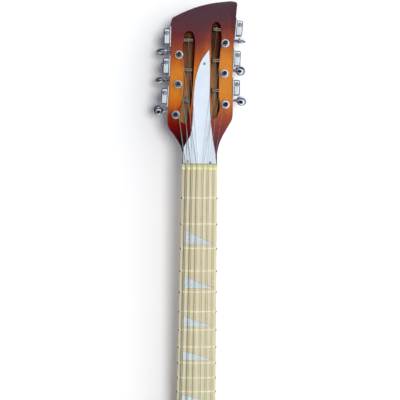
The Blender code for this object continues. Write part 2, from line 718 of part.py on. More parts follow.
def make_housing_mesh(name, kind):
    """Plate, hollow cover and collar of one tuner, about the post's axis."""
    plate_top = -SEAT_GAP
    plate_low = plate_top - TUNER_PLATE_THICKNESS
    middle = (CASE_FAR_END - CASE_NEAR_END) / 2
    body = box(name, (-CASE_HALF_WIDTH, -CASE_NEAR_END, case_floor()),
               (CASE_HALF_WIDTH, CASE_FAR_END, plate_low + TUNER_PLATE_THICKNESS / 2), CASE_BEVEL)
    housing = bpy.data.objects.new(name, body)
    bpy.context.scene.collection.objects.link(housing)
    plate = box("plate", (-TUNER_PLATE_WIDTH / 2, middle - TUNER_PLATE_LENGTH / 2, plate_low),
                (TUNER_PLATE_WIDTH / 2, middle + TUNER_PLATE_LENGTH / 2, plate_top))
    join(housing, add_cutter(f"{name}_plate", plate))
    collar_top = SLOT_COLLAR_LENGTH
    if kind == "face":
        collar_top = HEAD_THICKNESS + SEAT_GAP + FERRULE_HEIGHT
    collar = cylinder("collar", COLLAR_RADIUS, plate_low, collar_top, ROUND_SIDES)
    join(housing, add_cutter(f"{name}_collar", collar))
    if kind == "face":
        ferrule = cylinder("ferrule", FERRULE_RADIUS, HEAD_THICKNESS + SEAT_GAP, collar_top, ROUND_SIDES)
        join(housing, add_cutter(f"{name}_ferrule", ferrule))
    hollow = box("hollow", (-CASE_HALF_WIDTH + CASE_WALL, -CASE_NEAR_END + CASE_WALL,
                            case_floor() + CASE_WALL),
                 (CASE_HALF_WIDTH - CASE_WALL, CASE_FAR_END - CASE_WALL, plate_low),
                 CASE_BEVEL - CASE_WALL / 2)
    cut(housing, add_cutter(f"{name}_hollow", hollow))
    bore = cylinder("bore", POST_RADIUS + RUN_GAP, plate_low - CASE_WALL, collar_top + CASE_WALL,
                    ROUND_SIDES)
    cut(housing, add_cutter(f"{name}_bore", bore))
    way = cylinder("worm_way", WORM_SHAFT_RADIUS + RUN_GAP, -BUTTON_REACH, BUTTON_REACH, ROUND_SIDES)
    cut(housing, add_cutter(f"{name}_way", way, worm_place()))
    bpy.context.view_layer.update()
    return baked(housing, name)


def worm_place():
    """From a shaft's own frame, with Z along the shaft, to the tuner's frame."""
    return frame_matrix(Vector((0.0, WORM_OFFSET, -SEAT_GAP - WORM_DROP)), Vector((0.0, 1.0, 0.0)),
                        Vector((0.0, 0.0, 1.0)), Vector((1.0, 0.0, 0.0)))


def make_post_mesh(name, reach):
    """A post with its toothed wheel at the foot."""
    foot = case_floor() + CASE_WALL + RUN_GAP
    post = bpy.data.objects.new(name, cylinder(name, POST_RADIUS, foot, reach, ROUND_SIDES))
    bpy.context.scene.collection.objects.link(post)
    middle = -SEAT_GAP - WORM_DROP
    rings = []
    for height in (middle - WHEEL_THICKNESS / 2, middle + WHEEL_THICKNESS / 2):
        ring = []
        for i in range(2 * WHEEL_TEETH):
            angle = math.pi / 2 + math.pi * i / WHEEL_TEETH
            radius = WHEEL_TIP_RADIUS if i % 2 == 0 else WHEEL_ROOT_RADIUS
            ring.append(Vector((radius * math.cos(angle), radius * math.sin(angle), height)))
        rings.append(ring)
    join(post, add_cutter(f"{name}_wheel", loft("wheel", rings)))
    bpy.context.view_layer.update()
    return baked(post, name)


def make_button_mesh(name, turn):
    """Shaft, worm thread and flattened button as one turned and fluted form along Z."""
    pitch = worm_pitch()
    rows = []
    wall = CASE_HALF_WIDTH + 2 * SEAT_GAP
    thread_half = pitch * WORM_THREAD_TURNS / 2
    rows.append((-wall, None))
    steps = int(WORM_THREAD_TURNS * 4)
    rows.append((-thread_half - pitch / 4, None))
    for i in range(steps + 1):
        rows.append((-thread_half + pitch * i / 4, "thread"))
    rows.append((thread_half + pitch / 4, None))
    rows.append((wall, None))
    sides = ROUND_SIDES
    rings = []
    for height, mark in rows:
        ring = []
        for i in range(sides):
            angle = 2 * math.pi * i / sides
            radius = WORM_SHAFT_RADIUS
            if mark:
                phase = (height / pitch - i / sides) % 1.0
                rise = max(0.0, 1.0 - 4.0 * abs(phase - 0.5))
                radius += (WORM_CREST_RADIUS - WORM_SHAFT_RADIUS) * rise
            ring.append(Vector((-radius * math.cos(angle), radius * math.sin(angle), height)))
        rings.append(ring)
    start = BUTTON_REACH - BUTTON_LENGTH / 2
    twist = math.radians(turn)
    for share, size in ((0.0, 0.36), (0.2, 0.84), (0.5, 1.0), (0.85, 0.80), (1.0, 0.40)):
        ring = []
        for i in range(sides):
            angle = 2 * math.pi * i / sides
            wide = max(BUTTON_HALF_WIDTH * size, WORM_SHAFT_RADIUS)
            thick = max(BUTTON_HALF_THICKNESS * size, WORM_SHAFT_RADIUS)
            local = Vector((-wide * math.cos(angle - twist), thick * math.sin(angle - twist)))
            local.rotate(Matrix.Rotation(-twist, 2))
            ring.append(Vector((local.x, local.y, start + BUTTON_LENGTH * share)))
        rings.append(ring)
    return loft(name, rings)


def make_tuners():
    """Twelve tuners: a housing fixed to the head, a post and a button with its worm."""
    to_shaft = worm_place()
    for name, tuner in TUNERS.items():
        holder = bpy.data.objects.new(f"tuner_{name}", None)
        PARTS.objects.link(holder)
        mirrored = tuner["hand"] < 0
        matrix = tuner["matrix"].copy()
        flip = Matrix.Identity(4)
        if mirrored:
            flip = Matrix.Diagonal((1.0, -1.0, 1.0, 1.0))
            matrix = matrix @ flip
        holder.matrix_world = matrix
        for kind, mesh in (
            ("housing", make_housing_mesh(f"housing_{name}", tuner["kind"])),
            ("post", make_post_mesh(f"post_{name}", tuner["post_end"])),
        ):
            mesh.transform(flip)
            if mirrored:
                mesh.flip_normals()
            finish_of = chrome if kind == "housing" else steel
            add_part(f"{kind}_{name}", mesh, finish_of(f"{kind}_{name}"), Matrix.Identity(4), holder)
        button = make_button_mesh(f"button_{name}", tuner["turn"])
        button.transform(flip @ to_shaft)
        if mirrored:
            button.flip_normals()
        pivot = flip @ Vector((0.0, WORM_OFFSET, -SEAT_GAP - WORM_DROP))
        button.transform(Matrix.Translation(-pivot))
        add_part(f"button_{name}", button, chrome(f"button_{name}"), Matrix.Translation(pivot), holder)


def wind(start, tuner, radius):
    """Points of the turns round a post, from the place where the string meets it."""
    inverse = tuner["matrix"].inverted()
    local = inverse @ start
    touch = (POST_RADIUS + radius + SEAT_GAP) / math.cos(math.pi / WIND_POINTS_PER_TURN)
    distance = math.hypot(local.x, local.y)
    facing = math.atan2(local.y, local.x)
    over = Vector((-1.0, 0.0))
    choices = []
    for sign in (1, -1):
        angle = facing + sign * math.acos(touch / distance)
        place = Vector((math.cos(angle), math.sin(angle)))
        travel = place * touch - local.xy
        around = 1 if travel.dot(Vector((-place.y, place.x))) > 0 else -1
        choices.append((place.dot(over), angle, around))
    _, angle, around = max(choices)
    pitch = 2 * radius + WIND_SPARE
    down = -1 if tuner["kind"] == "face" else 1
    count = round(WIND_TURNS * WIND_POINTS_PER_TURN)
    points = []
    for i in range(count + 1):
        turned_by = around * 2 * math.pi * i / WIND_POINTS_PER_TURN
        height = tuner["wind_start"] + down * pitch * i / WIND_POINTS_PER_TURN
        points.append(tuner["matrix"] @ Vector((
            touch * math.cos(angle + turned_by), touch * math.sin(angle + turned_by), height)))
    return points


def string_route(row):
    """A string from its ball end over the saddle and the nut to its post."""
    radius = row["radius"]
    slot_z = BODY_THICKNESS + TAIL_SLOT_HEIGHT + radius
    ball_y = TAIL_WEB_Y - TAIL_WEB_THICKNESS - SEAT_GAP - BALL_RADIUS
    front_z = string_height(row["nut_x"], NUT_Y, radius)
    points = [
        Vector((row["tail_x"], ball_y, slot_z)),
        Vector((row["tail_x"], TAIL_WEB_Y + SEAT_GAP, slot_z)),
        Vector((row["bridge_x"], 0.0, string_height(row["bridge_x"], 0.0, radius))),
        Vector((row["nut_x"], NUT_Y, front_z)),
        Vector((row["nut_x"], NUT_Y + NUT_LENGTH, front_z)),
    ]
    return points + wind(points[-1], TUNERS[row["post"]], radius)


def make_courses():
    """Each pair of strings, from its joined ball ends to the posts."""
    gaps = []
    for course in range(len(STRING_GAUGES)):
        rows = [row for row in STRINGS if row["course"] == course]
        routes = [string_route(row) for row in rows]
        meshes = [tube(route, row["radius"], f"string_{course + 1}")
                  for route, row in zip(routes, rows)]
        name = f"string_course_{len(STRING_GAUGES) - course}"
        part = add_part(name, meshes[0], steel(name))
        join(part, add_cutter(f"{name}_partner", meshes[1]))
        for i, (route, row) in enumerate(zip(routes, rows)):
            ball = cylinder(f"{name}_ball_{i}", BALL_RADIUS, -BALL_RADIUS * 1.02, BALL_RADIUS * 1.02, 8)
            turn = Matrix.Rotation(math.pi / 2, 4, "Y")
            join(part, add_cutter(f"{name}_ball_{i}", ball, Matrix.Translation(route[0]) @ turn))
            gaps.append(self_gap(route, row["radius"]))
    print(f"least gap of a winding to itself: {1000 * min(gaps):.2f} mm")


def self_gap(route, radius):
    """Least distance between turns of a winding, measured on its points."""
    turns = route[-round(WIND_TURNS * WIND_POINTS_PER_TURN) - 1:]
    least = 1.0
    for i, a in enumerate(turns):
        for b in turns[i + WIND_POINTS_PER_TURN // 2:]:
            least = min(least, (a - b).length - 2 * radius)
    return least


def body_line():
    half = [key for key in BODY_HALF_OUTLINE]
    mirror = [(-key[0], *key[1:]) for key in reversed(half[1:])]
    return smooth_outline(half + mirror)


def make_body():
    """The body, with its neck pocket, pickup wells, control wells and jack bore."""
    body = add_part("body", slab("body", body_line(), 0.0, BODY_THICKNESS, BODY_EDGE),
                    sunburst_wood("body"))
    top = BODY_THICKNESS + PLATE_THICKNESS
    pocket_half = half_width(TENON_END_Y) + SEAT_GAP
    floor = NECK_TOP - HEEL_DEPTH - SEAT_GAP
    pocket = box("neck_pocket", (-pocket_half, TENON_END_Y - SEAT_GAP, floor),
                 (pocket_half, BODY_FRONT_Y + HEEL_LENGTH, top))
    cut(body, add_cutter("neck_pocket", pocket))
    for name, y in (("neck_well", NECK_PICKUP_Y), ("bridge_well", BRIDGE_PICKUP_Y)):
        half_x = PICKUP_LENGTH / 2 + SEAT_GAP
        half_y = PICKUP_WIDTH / 2 + SEAT_GAP
        well = box(name, (-half_x, y - half_y, BODY_THICKNESS - PICKUP_DEPTH - SEAT_GAP),
                   (half_x, y + half_y, top))
        cut(body, add_cutter(name, well))
    low_x, low_y, high_x, high_y = CONTROL_CAVITY
    control = box("control_well", (low_x, low_y, BODY_THICKNESS - CONTROL_CAVITY_DEPTH),
                  (high_x, high_y, top))
    cut(body, add_cutter("control_well", control))
    x, y = SWITCH_POSITION
    half = SWITCH_BODY / 2 + 4 * SEAT_GAP
    well = box("switch_well", (x - half, y - half, BODY_THICKNESS - SWITCH_BODY_DEPTH - 4 * SEAT_GAP),
               (x + half, y + half, top))
    cut(body, add_cutter("switch_well", well))
    bore = cylinder("jack_bore", JACK_BARREL_RADIUS + SEAT_GAP, -JACK_BARREL_LENGTH - SEAT_GAP,
                    JACK_FLANGE_RADIUS, 12)
    cut(body, add_cutter("jack_bore", bore, tail_matrix()))
    bore = cylinder("strap_bore", STRAP_SCREW_RADIUS + SEAT_GAP, -STRAP_SCREW_LENGTH - SEAT_GAP,
                    STRAP_BASE_RADIUS, 8)
    cut(body, add_cutter("strap_bore", bore, horn_matrix()))
    return body


def tail_matrix():
    """At the tail end of the body, with Z pointing out of it."""
    return frame_matrix(Vector((0.0, BODY_TAIL_Y, BODY_THICKNESS / 2)), Vector((1.0, 0.0, 0.0)),
                        Vector((0.0, 0.0, 1.0)), Vector((0.0, -1.0, 0.0)))


def horn_matrix():
    """At the tip of the bass horn, with Z pointing out of it."""
    tip = max(body_line(), key=lambda point: point.y)
    return frame_matrix(Vector((-abs(tip.x), tip.y, BODY_THICKNESS / 2)), Vector((1.0, 0.0, 0.0)),
                        Vector((0.0, 0.0, -1.0)), Vector((0.0, 1.0, 0.0)))


def make_pickups():
    """Two pickups: a coil block in its well and a flange on the body."""
    low = BODY_THICKNESS + SEAT_GAP
    for name, y in (("neck_pickup", NECK_PICKUP_Y), ("bridge_pickup", BRIDGE_PICKUP_Y)):
        half_x = PICKUP_LENGTH / 2
        half_y = PICKUP_WIDTH / 2
        block = box(name, (-half_x, y - half_y, BODY_THICKNESS - PICKUP_DEPTH),
                    (half_x, y + half_y, BODY_THICKNESS + PICKUP_RISE))
        part = add_part(name, block, chrome(name))
        flange = box(f"{name}_flange", (-half_x - PICKUP_FLANGE, y - half_y - PICKUP_FLANGE / 2, low),
                     (half_x + PICKUP_FLANGE, y + half_y + PICKUP_FLANGE / 2, low + PLATE_THICKNESS))
        join(part, add_cutter(f"{name}_flange", flange))


def make_bridge():
    """The base plate with its row of saddles, notched for the strings."""
    low = BODY_THICKNESS + SEAT_GAP
    half = BRIDGE_BASE_LENGTH / 2
    base = box("bridge", (-half, -BRIDGE_BASE_BACK, low), (half, BRIDGE_BASE_FRONT, low + PLATE_THICKNESS))
    bridge = add_part("bridge", base, chrome("bridge"))
    rings = []
    for a in (-1.0, -0.5, 0.0, 0.5, 1.0):
        x = a * SADDLE_LENGTH / 2
        high = string_height(x, 0.0, 0.0) + SADDLE_OVER_STRING
        rings.append([Vector((x, -SADDLE_WIDTH / 2, low)), Vector((x, -SADDLE_WIDTH / 2, high - SADDLE_SHOULDER)),
                      Vector((x, 0.0, high)), Vector((x, SADDLE_WIDTH / 2, high - SADDLE_SHOULDER)),
                      Vector((x, SADDLE_WIDTH / 2, low))])
    join(bridge, add_cutter("saddles", loft("saddles", rings)))
    for i, row in enumerate(STRINGS):
        floor = string_height(row["bridge_x"], 0.0, 0.0) - SEAT_GAP
        wide = row["radius"] + 2 * SEAT_GAP
        slot = box(f"saddle_slot_{i}", (row["bridge_x"] - wide, -SADDLE_WIDTH, floor - 2 * SEAT_GAP),
                   (row["bridge_x"] + wide, SADDLE_WIDTH, floor + 4 * SADDLE_OVER_STRING))
        cut(bridge, add_cutter(f"saddle_slot_{i}", slot))


def make_tailpiece():
    """A flat plate with a slotted upstand that holds the ball ends."""
    low = BODY_THICKNESS + SEAT_GAP
    half = TAIL_LENGTH / 2
    front = TAIL_WEB_Y + TAIL_PLATE_FRONT
    plate = box("tailpiece", (-half, TAIL_WEB_Y - TAIL_PLATE_BACK, low), (half, front, low + PLATE_THICKNESS))
    tail = add_part("tailpiece", plate, chrome("tailpiece"))
    web = box("tail_web", (-half, TAIL_WEB_Y - TAIL_WEB_THICKNESS, low),
              (half, TAIL_WEB_Y, BODY_THICKNESS + TAIL_WEB_HEIGHT))
    join(tail, add_cutter("tail_web", web))
    for i, row in enumerate(STRINGS):
        wide = row["radius"] + SEAT_GAP
        slot = box(f"tail_slot_{i}",
                   (row["tail_x"] - wide, TAIL_WEB_Y - 2 * TAIL_WEB_THICKNESS,
                    BODY_THICKNESS + TAIL_SLOT_HEIGHT - SEAT_GAP),
                   (row["tail_x"] + wide, TAIL_WEB_Y + TAIL_WEB_THICKNESS,
                    BODY_THICKNESS + 2 * TAIL_WEB_HEIGHT))
        cut(tail, add_cutter(f"tail_slot_{i}", slot))


def make_guard():
    """The guard plate that carries the four pots and the selector switch."""
    low = BODY_THICKNESS + SEAT_GAP
    high = low + PLATE_THICKNESS
    guard = add_part("pickguard", slab("pickguard", smooth_outline(GUARD_OUTLINE), low, high),
                     white_plastic("pickguard"))
    for i, (x, y) in enumerate(POT_POSITIONS):
        place = Matrix.Translation((x, y, high))
        pot = cylinder(f"pot_{i}", POT_RADIUS, -PLATE_THICKNESS - POT_DEPTH, -PLATE_THICKNESS / 2, ROUND_SIDES)
        join(guard, add_cutter(f"pot_{i}", pot, place))
        collar = cylinder(f"pot_collar_{i}", POT_COLLAR_RADIUS, -PLATE_THICKNESS / 2,
                          POT_COLLAR_HEIGHT, ROUND_SIDES)
        join(guard, add_cutter(f"pot_collar_{i}", collar, place))
        bore = cylinder(f"pot_bore_{i}", POT_SHAFT_RADIUS + RUN_GAP,
                        -PLATE_THICKNESS - POT_DEPTH + POT_FLOOR, 2 * POT_COLLAR_HEIGHT, ROUND_SIDES)
        cut(guard, add_cutter(f"pot_bore_{i}", bore, place))
    place = Matrix.Translation((*SWITCH_POSITION, high))
    half = SWITCH_BODY / 2
    case = box("switch_case", (-half, -half, -PLATE_THICKNESS - SWITCH_BODY_DEPTH),
               (half, half, -PLATE_THICKNESS / 2))
    join(guard, add_cutter("switch_case", case, place))
    collar = cylinder("switch_collar", SWITCH_COLLAR_RADIUS, -PLATE_THICKNESS / 2,
                      SWITCH_COLLAR_HEIGHT, 12)
    join(guard, add_cutter("switch_collar", collar, place))
    bore = cylinder("switch_bore", SWITCH_PIVOT_RADIUS + RUN_GAP, -PLATE_THICKNESS - SWITCH_BODY_DEPTH / 2,
                    2 * SWITCH_COLLAR_HEIGHT, 12)
    cut(guard, add_cutter("switch_bore", bore, place))


def make_controls():
    """Four knobs on their shafts, and the selector's lever on its ball."""
    high = BODY_THICKNESS + SEAT_GAP + PLATE_THICKNESS
    foot = -PLATE_THICKNESS - POT_DEPTH + POT_FLOOR + RUN_GAP
    under = POT_COLLAR_HEIGHT + RUN_GAP
    for i, (x, y) in enumerate(POT_POSITIONS):
        profile = [
            (0.0, under + KNOB_HEIGHT), (KNOB_TOP_RADIUS, under + KNOB_HEIGHT), (KNOB_RADIUS, under),
            (POT_SHAFT_RADIUS, under), (POT_SHAFT_RADIUS, foot), (0.0, foot),
        ]
        name = f"knob_{i + 1}"
        add_part(name, turned(name, profile, 2 * ROUND_SIDES), black_plastic(name), Matrix.Translation((x, y, high)))
    ball = SWITCH_PIVOT_RADIUS
    profile = [
        (0.0, SWITCH_LEVER_LENGTH), (0.5 * ball, SWITCH_LEVER_LENGTH - 0.2 * ball),
        (0.75 * ball, SWITCH_LEVER_LENGTH - ball), (0.4 * ball, 1.2 * ball), (0.75 * ball, 0.66 * ball),
        (ball, 0.0), (0.75 * ball, -0.66 * ball), (0.0, -ball),
    ]
    add_part("selector_switch", turned("selector_switch", profile, 10), white_plastic("selector_switch"),
             Matrix.Translation((*SWITCH_POSITION, high)))


def make_pins():
    """The strap button on the bass horn, and the jack in the tail that is also a strap pin."""
    strap = [
        (0.0, STRAP_HEIGHT), (STRAP_CAP_RADIUS, STRAP_HEIGHT), (STRAP_CAP_RADIUS, STRAP_HEIGHT * 0.78),
        (STRAP_NECK_RADIUS, STRAP_HEIGHT * 0.5), (STRAP_BASE_RADIUS, STRAP_HEIGHT * 0.18),
        (STRAP_BASE_RADIUS, SEAT_GAP), (STRAP_SCREW_RADIUS, SEAT_GAP),
        (STRAP_SCREW_RADIUS, -STRAP_SCREW_LENGTH), (0.0, -STRAP_SCREW_LENGTH),
    ]
    add_part("strap_button", turned("strap_button", strap, 12), chrome("strap_button"), horn_matrix())
    flange = SEAT_GAP + JACK_FLANGE_THICKNESS
    neck = flange + JACK_NECK_LENGTH
    cap = neck + JACK_CAP_LENGTH
    jack = [
        (JACK_BORE_RADIUS, cap), (JACK_CAP_RADIUS, cap), (JACK_CAP_RADIUS, neck),
        (JACK_NECK_RADIUS, neck - JACK_CAP_LENGTH / 2), (JACK_NECK_RADIUS, flange),
        (JACK_FLANGE_RADIUS, flange), (JACK_FLANGE_RADIUS, SEAT_GAP), (JACK_BARREL_RADIUS, SEAT_GAP),
        (JACK_BARREL_RADIUS, -JACK_BARREL_LENGTH), (0.0, -JACK_BARREL_LENGTH),
        (0.0, cap - JACK_BORE_DEPTH), (JACK_BORE_RADIUS, cap - JACK_BORE_DEPTH),
        (JACK_BORE_RADIUS, cap),
    ]
    add_part("end_pin_jack", turned("end_pin_jack", jack, 12), chrome("end_pin_jack"), tail_matrix())


make_body()
make_neck()
make_truss_rod()
make_fingerboard()
make_nut()
make_cover()
make_tuners()
make_courses()
make_pickups()
make_bridge()
make_tailpiece()
make_guard()
make_controls()
make_pins()
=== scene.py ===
import json
import math

import bmesh
import bpy
from mathutils import Matrix, Vector


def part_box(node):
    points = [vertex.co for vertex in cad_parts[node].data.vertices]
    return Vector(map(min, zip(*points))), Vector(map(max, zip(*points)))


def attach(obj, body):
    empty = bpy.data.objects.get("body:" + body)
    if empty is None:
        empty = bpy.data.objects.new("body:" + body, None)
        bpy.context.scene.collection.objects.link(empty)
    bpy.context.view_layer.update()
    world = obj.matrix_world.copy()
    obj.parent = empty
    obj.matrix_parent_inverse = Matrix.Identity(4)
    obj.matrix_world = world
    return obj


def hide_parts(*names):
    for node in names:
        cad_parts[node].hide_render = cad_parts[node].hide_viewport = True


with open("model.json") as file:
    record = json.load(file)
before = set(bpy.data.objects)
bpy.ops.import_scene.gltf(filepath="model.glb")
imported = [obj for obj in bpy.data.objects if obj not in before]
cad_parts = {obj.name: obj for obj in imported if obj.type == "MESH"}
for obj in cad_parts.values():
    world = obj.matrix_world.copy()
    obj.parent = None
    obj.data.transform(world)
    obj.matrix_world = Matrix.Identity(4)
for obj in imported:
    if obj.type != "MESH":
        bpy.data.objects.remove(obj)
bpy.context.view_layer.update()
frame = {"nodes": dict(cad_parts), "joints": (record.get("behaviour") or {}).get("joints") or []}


# Body: one slab of light, close-grained wood, sawn to its outline and rounded over at both rims.
# It is routed for the neck, the pickups, the controls and the end-pin jack, then stained as a
# sunburst and lacquered.
SEAT_GAP = 0.0003
BEYOND = 0.02
BODY_THICKNESS = 0.0340
BODY_ROUND = 0.0040
CORNER = True
BODY_HALF_OUTLINE = [
    (0.0000, -0.1500), (0.0600, -0.1470), (0.1180, -0.1270), (0.1550, -0.0860), (0.1660, -0.0350),
    (0.1530, 0.0200), (0.1310, 0.0660), (0.1240, 0.1100), (0.1320, 0.1600), (0.1390, 0.2050),
    (0.1280, 0.2430), (0.1040, 0.2600), (0.0780, 0.2510), (0.0590, 0.2270), (0.0440, 0.2110),
    (0.0300, 0.2060, CORNER),
]
BODY_FRONT_Y = BODY_HALF_OUTLINE[-1][1]
BODY_TAIL_Y = BODY_HALF_OUTLINE[0][1]
NECK_POCKET = (0.0278, 0.0460, 0.0221)
PICKUP_WELL = (0.0700, 0.0280, 0.0160)
PICKUP_PLACES = {"neck_pickup": 0.1360, "bridge_pickup": 0.0420}
CONTROL_WELL = (0.0600, -0.0920, 0.1340, 0.0140, 0.0240)
SWITCH_PLACE = Vector((0.088, 0.118))
SWITCH_CASE = (0.0160, 0.0100)
JACK_BORE = (0.0063, 0.0343)
STRAP_BORE = (0.0023, 0.0183)
BURST_LOBES = [(0.0, -0.040, 0.172, 0.116), (0.0, 0.135, 0.144, 0.132)]


def smooth_line(keys, turn_per_step=0.07):
    """A closed line through key points, curved except at the marked corners."""
    points = [Vector((key[0], key[1])) for key in keys]
    sharp = [len(key) > 2 for key in keys]
    count = len(points)
    tangents = []
    for i in range(count):
        before = points[i] - points[i - 1]
        after = points[(i + 1) % count] - points[i]
        blend = before.normalized() * after.length + after.normalized() * before.length
        tangents.append(blend.normalized())
    line = []
    for i in range(count):
        j = (i + 1) % count
        chord = points[j] - points[i]
        leave = chord.normalized() if sharp[i] else tangents[i]
        arrive = chord.normalized() if sharp[j] else tangents[j]
        steps = max(1, math.ceil((leave.angle(chord) + chord.angle(arrive)) / turn_per_step))
        for step in range(steps):
            t = step / steps
            line.append((2 * t ** 3 - 3 * t ** 2 + 1) * points[i] + (3 * t ** 2 - 2 * t ** 3) * points[j]
                        + (t ** 3 - 2 * t ** 2 + t) * chord.length * leave
                        + (t ** 3 - t ** 2) * chord.length * arrive)
    return line


def plain(guide):
    """A guide object as its modifiers leave it: the same name, one mesh, no modifiers."""
    name = guide.name
    graph = bpy.context.evaluated_depsgraph_get()
    mesh = bpy.data.meshes.new_from_object(guide.evaluated_get(graph), depsgraph=graph)
    mesh.transform(guide.matrix_world)
    bpy.data.objects.remove(guide, do_unlink=True)
    mesh.name = name
    return mesh


def linked(name, data):
    """A new object in the scene."""
    guide = bpy.data.objects.new(name, data)
    bpy.context.scene.collection.objects.link(guide)
    return guide


def closed(mesh):
    """Weld a mesh and turn its faces outward."""
    bm = bmesh.new()
    bm.from_mesh(mesh)
    bmesh.ops.remove_doubles(bm, verts=bm.verts, dist=0.000002)
    bmesh.ops.dissolve_degenerate(bm, edges=bm.edges, dist=0.000001)
    bmesh.ops.recalc_face_normals(bm, faces=bm.faces)
    bm.to_mesh(mesh)
    bm.free()
    return mesh


def slab(name, line, bottom, top, round_over=0.0, steps=4):
    """A flat solid between two heights from a closed line, with its rims rounded over."""
    curve = bpy.data.curves.new(name, "CURVE")
    curve.dimensions = "2D"
    curve.fill_mode = "BOTH"
    curve.extrude = (top - bottom) / 2 - round_over
    curve.bevel_depth = round_over
    curve.bevel_resolution = steps
    curve.offset = -round_over
    spline = curve.splines.new("POLY")
    spline.points.add(len(line) - 1)
    for point, place in zip(spline.points, line):
        point.co = (place.x, place.y, 0.0, 1.0)
    spline.use_cyclic_u = True
    guide = linked(name, curve)
    guide.location.z = (top + bottom) / 2
    bpy.context.view_layer.update()
    return closed(plain(guide))


def made(name, bm, weld=True):
    """The mesh of an editing form, which is freed."""
    mesh = bpy.data.meshes.new(name)
    bm.to_mesh(mesh)
    bm.free()
    return closed(mesh) if weld else mesh


def block(low, high, bevel=0.0, steps=3):
    """A box between two corners with its edges rounded."""
    low = Vector(low)
    high = Vector(high)
    bm = bmesh.new()
    bmesh.ops.create_cube(bm, size=1.0)
    bmesh.ops.scale(bm, vec=high - low, verts=bm.verts)
    bmesh.ops.translate(bm, vec=(low + high) / 2, verts=bm.verts)
    if bevel:
        bmesh.ops.bevel(bm, geom=bm.edges[:], offset=bevel, segments=steps, profile=0.5, affect="EDGES")
    return made("block", bm)


def drum(radius, bottom, top, sides=32):
    """A cylinder about Z."""
    bm = bmesh.new()
    bmesh.ops.create_cone(bm, cap_ends=True, segments=sides, radius1=radius, radius2=radius,
                          depth=top - bottom)
    bmesh.ops.translate(bm, vec=(0.0, 0.0, (top + bottom) / 2), verts=bm.verts)
    return made("drum", bm, weld=False)


def moved(mesh, place):
    """A mesh put in its place, a point or a matrix; a mirrored place turns its faces back outward."""
    matrix = Matrix.Translation(place) if isinstance(place, Vector) else place
    mesh.transform(matrix)
    if matrix.determinant() < 0:
        mesh.flip_normals()
    return mesh


def polar(radius, angle, height=0.0):
    """A point at a radius and an angle about Z."""
    return Vector((radius * math.cos(angle), radius * math.sin(angle), height))


def worked(name, mesh, trim=(), join=(), cut=()):
    """A mesh kept where it meets some others, then joined with some and cut by some."""
    guide = linked(name, mesh)
    tools = []
    for operation, meshes in (("INTERSECT", trim), ("UNION", join), ("DIFFERENCE", cut)):
        for tool_mesh in meshes:
            tool = linked(f"{name}_tool", tool_mesh)
            modifier = guide.modifiers.new(tool.name, "BOOLEAN")
            modifier.operation = operation
            modifier.object = tool
            modifier.solver = "EXACT"
            modifier.material_mode = "TRANSFER"
            tools.append(tool)
    bpy.context.view_layer.update()
    result = plain(guide)
    for tool in tools:
        bpy.data.objects.remove(tool, do_unlink=True)
    return closed(result)


def painted(mesh, *materials):
    """A mesh with one material all over, or with others in its further slots."""
    mesh.materials.clear()
    for material in materials:
        mesh.materials.append(material)
    return mesh


def piece(name, mesh, slot, *nodes, body="guitar", crease=32.0):
    """A finished piece: shaded smooth between its creases, riding on a body, in place of its nodes."""
    mesh.shade_smooth()
    mesh.set_sharp_from_angle(angle=math.radians(crease))
    guide = linked(name, mesh)
    even = guide.modifiers.new("even", "WEIGHTED_NORMAL")
    even.keep_sharp = True
    bpy.context.view_layer.update()
    shown = linked(name, plain(guide))
    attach(shown, body)
    if nodes:
        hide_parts(*nodes)


def together(name, meshes):
    """Several meshes as one, each face keeping its material."""
    bm = bmesh.new()
    used = []
    for mesh in meshes:
        start = len(bm.faces)
        bm.from_mesh(mesh)
        bm.faces.ensure_lookup_table()
        used += [material for material in mesh.materials if material not in used]
        for face in bm.faces[start:]:
            if mesh.materials:
                face.material_index = used.index(mesh.materials[face.material_index])
    whole = made(name, bm, weld=False)
    for material in used:
        whole.materials.append(material)
    return whole


def connect(node, wires):
    """Set a node's inputs, from values or from other nodes' outputs."""
    for key, value in wires.items():
        if isinstance(value, bpy.types.NodeSocket):
            node.id_data.links.new(value, node.inputs[key])
        else:
            node.inputs[key].default_value = value
    return node


def add(tree, kind, wires=None, **settings):
    """A node with its settings and its inputs."""
    node = tree.nodes.new(kind)
    for key, value in settings.items():
        setattr(node, key, value)
    return connect(node, wires or {})


def calc(tree, operation, *values):
    """A sum, product or other operation on numbers."""
    return add(tree, "ShaderNodeMath", dict(enumerate(values)), operation=operation).outputs[0]


def mixed(tree, share, first, second, how="MIX"):
    """Two colours mixed by a share."""
    return add(tree, "ShaderNodeMix", {0: share, 6: first, 7: second},
               data_type="RGBA", blend_type=how).outputs[2]


def between(tree, value, low, high, start=0.0, end=1.0):
    """A smooth step from start to end as a value goes from low to high."""
    return add(tree, "ShaderNodeMapRange", {0: value, 1: low, 2: high, 3: start, 4: end},
               interpolation_type="SMOOTHSTEP").outputs[0]


def ramp(tree, value, stops):
    """A colour that changes along its stops, each a place from 0 to 1 and a colour as seen."""
    node = add(tree, "ShaderNodeValToRGB", {0: value})
    elements = node.color_ramp.elements
    for i, (place, *colour) in enumerate(stops):
        if 0 < i < len(stops) - 1:
            elements.new(place).color = seen(*colour)
        else:
            end = elements[0 if i == 0 else -1]
            end.position = place
            end.color = seen(*colour)
    return node.outputs[0]


def seen(red, green, blue):
    """A colour as the eye reads it on a 0 to 255 scale, as the linear colour that a shader takes."""
    parts = [part / 255 for part in (red, green, blue)]
    return (*[((p + 0.055) / 1.055) ** 2.4 if p > 0.04045 else p / 12.92 for p in parts], 1.0)


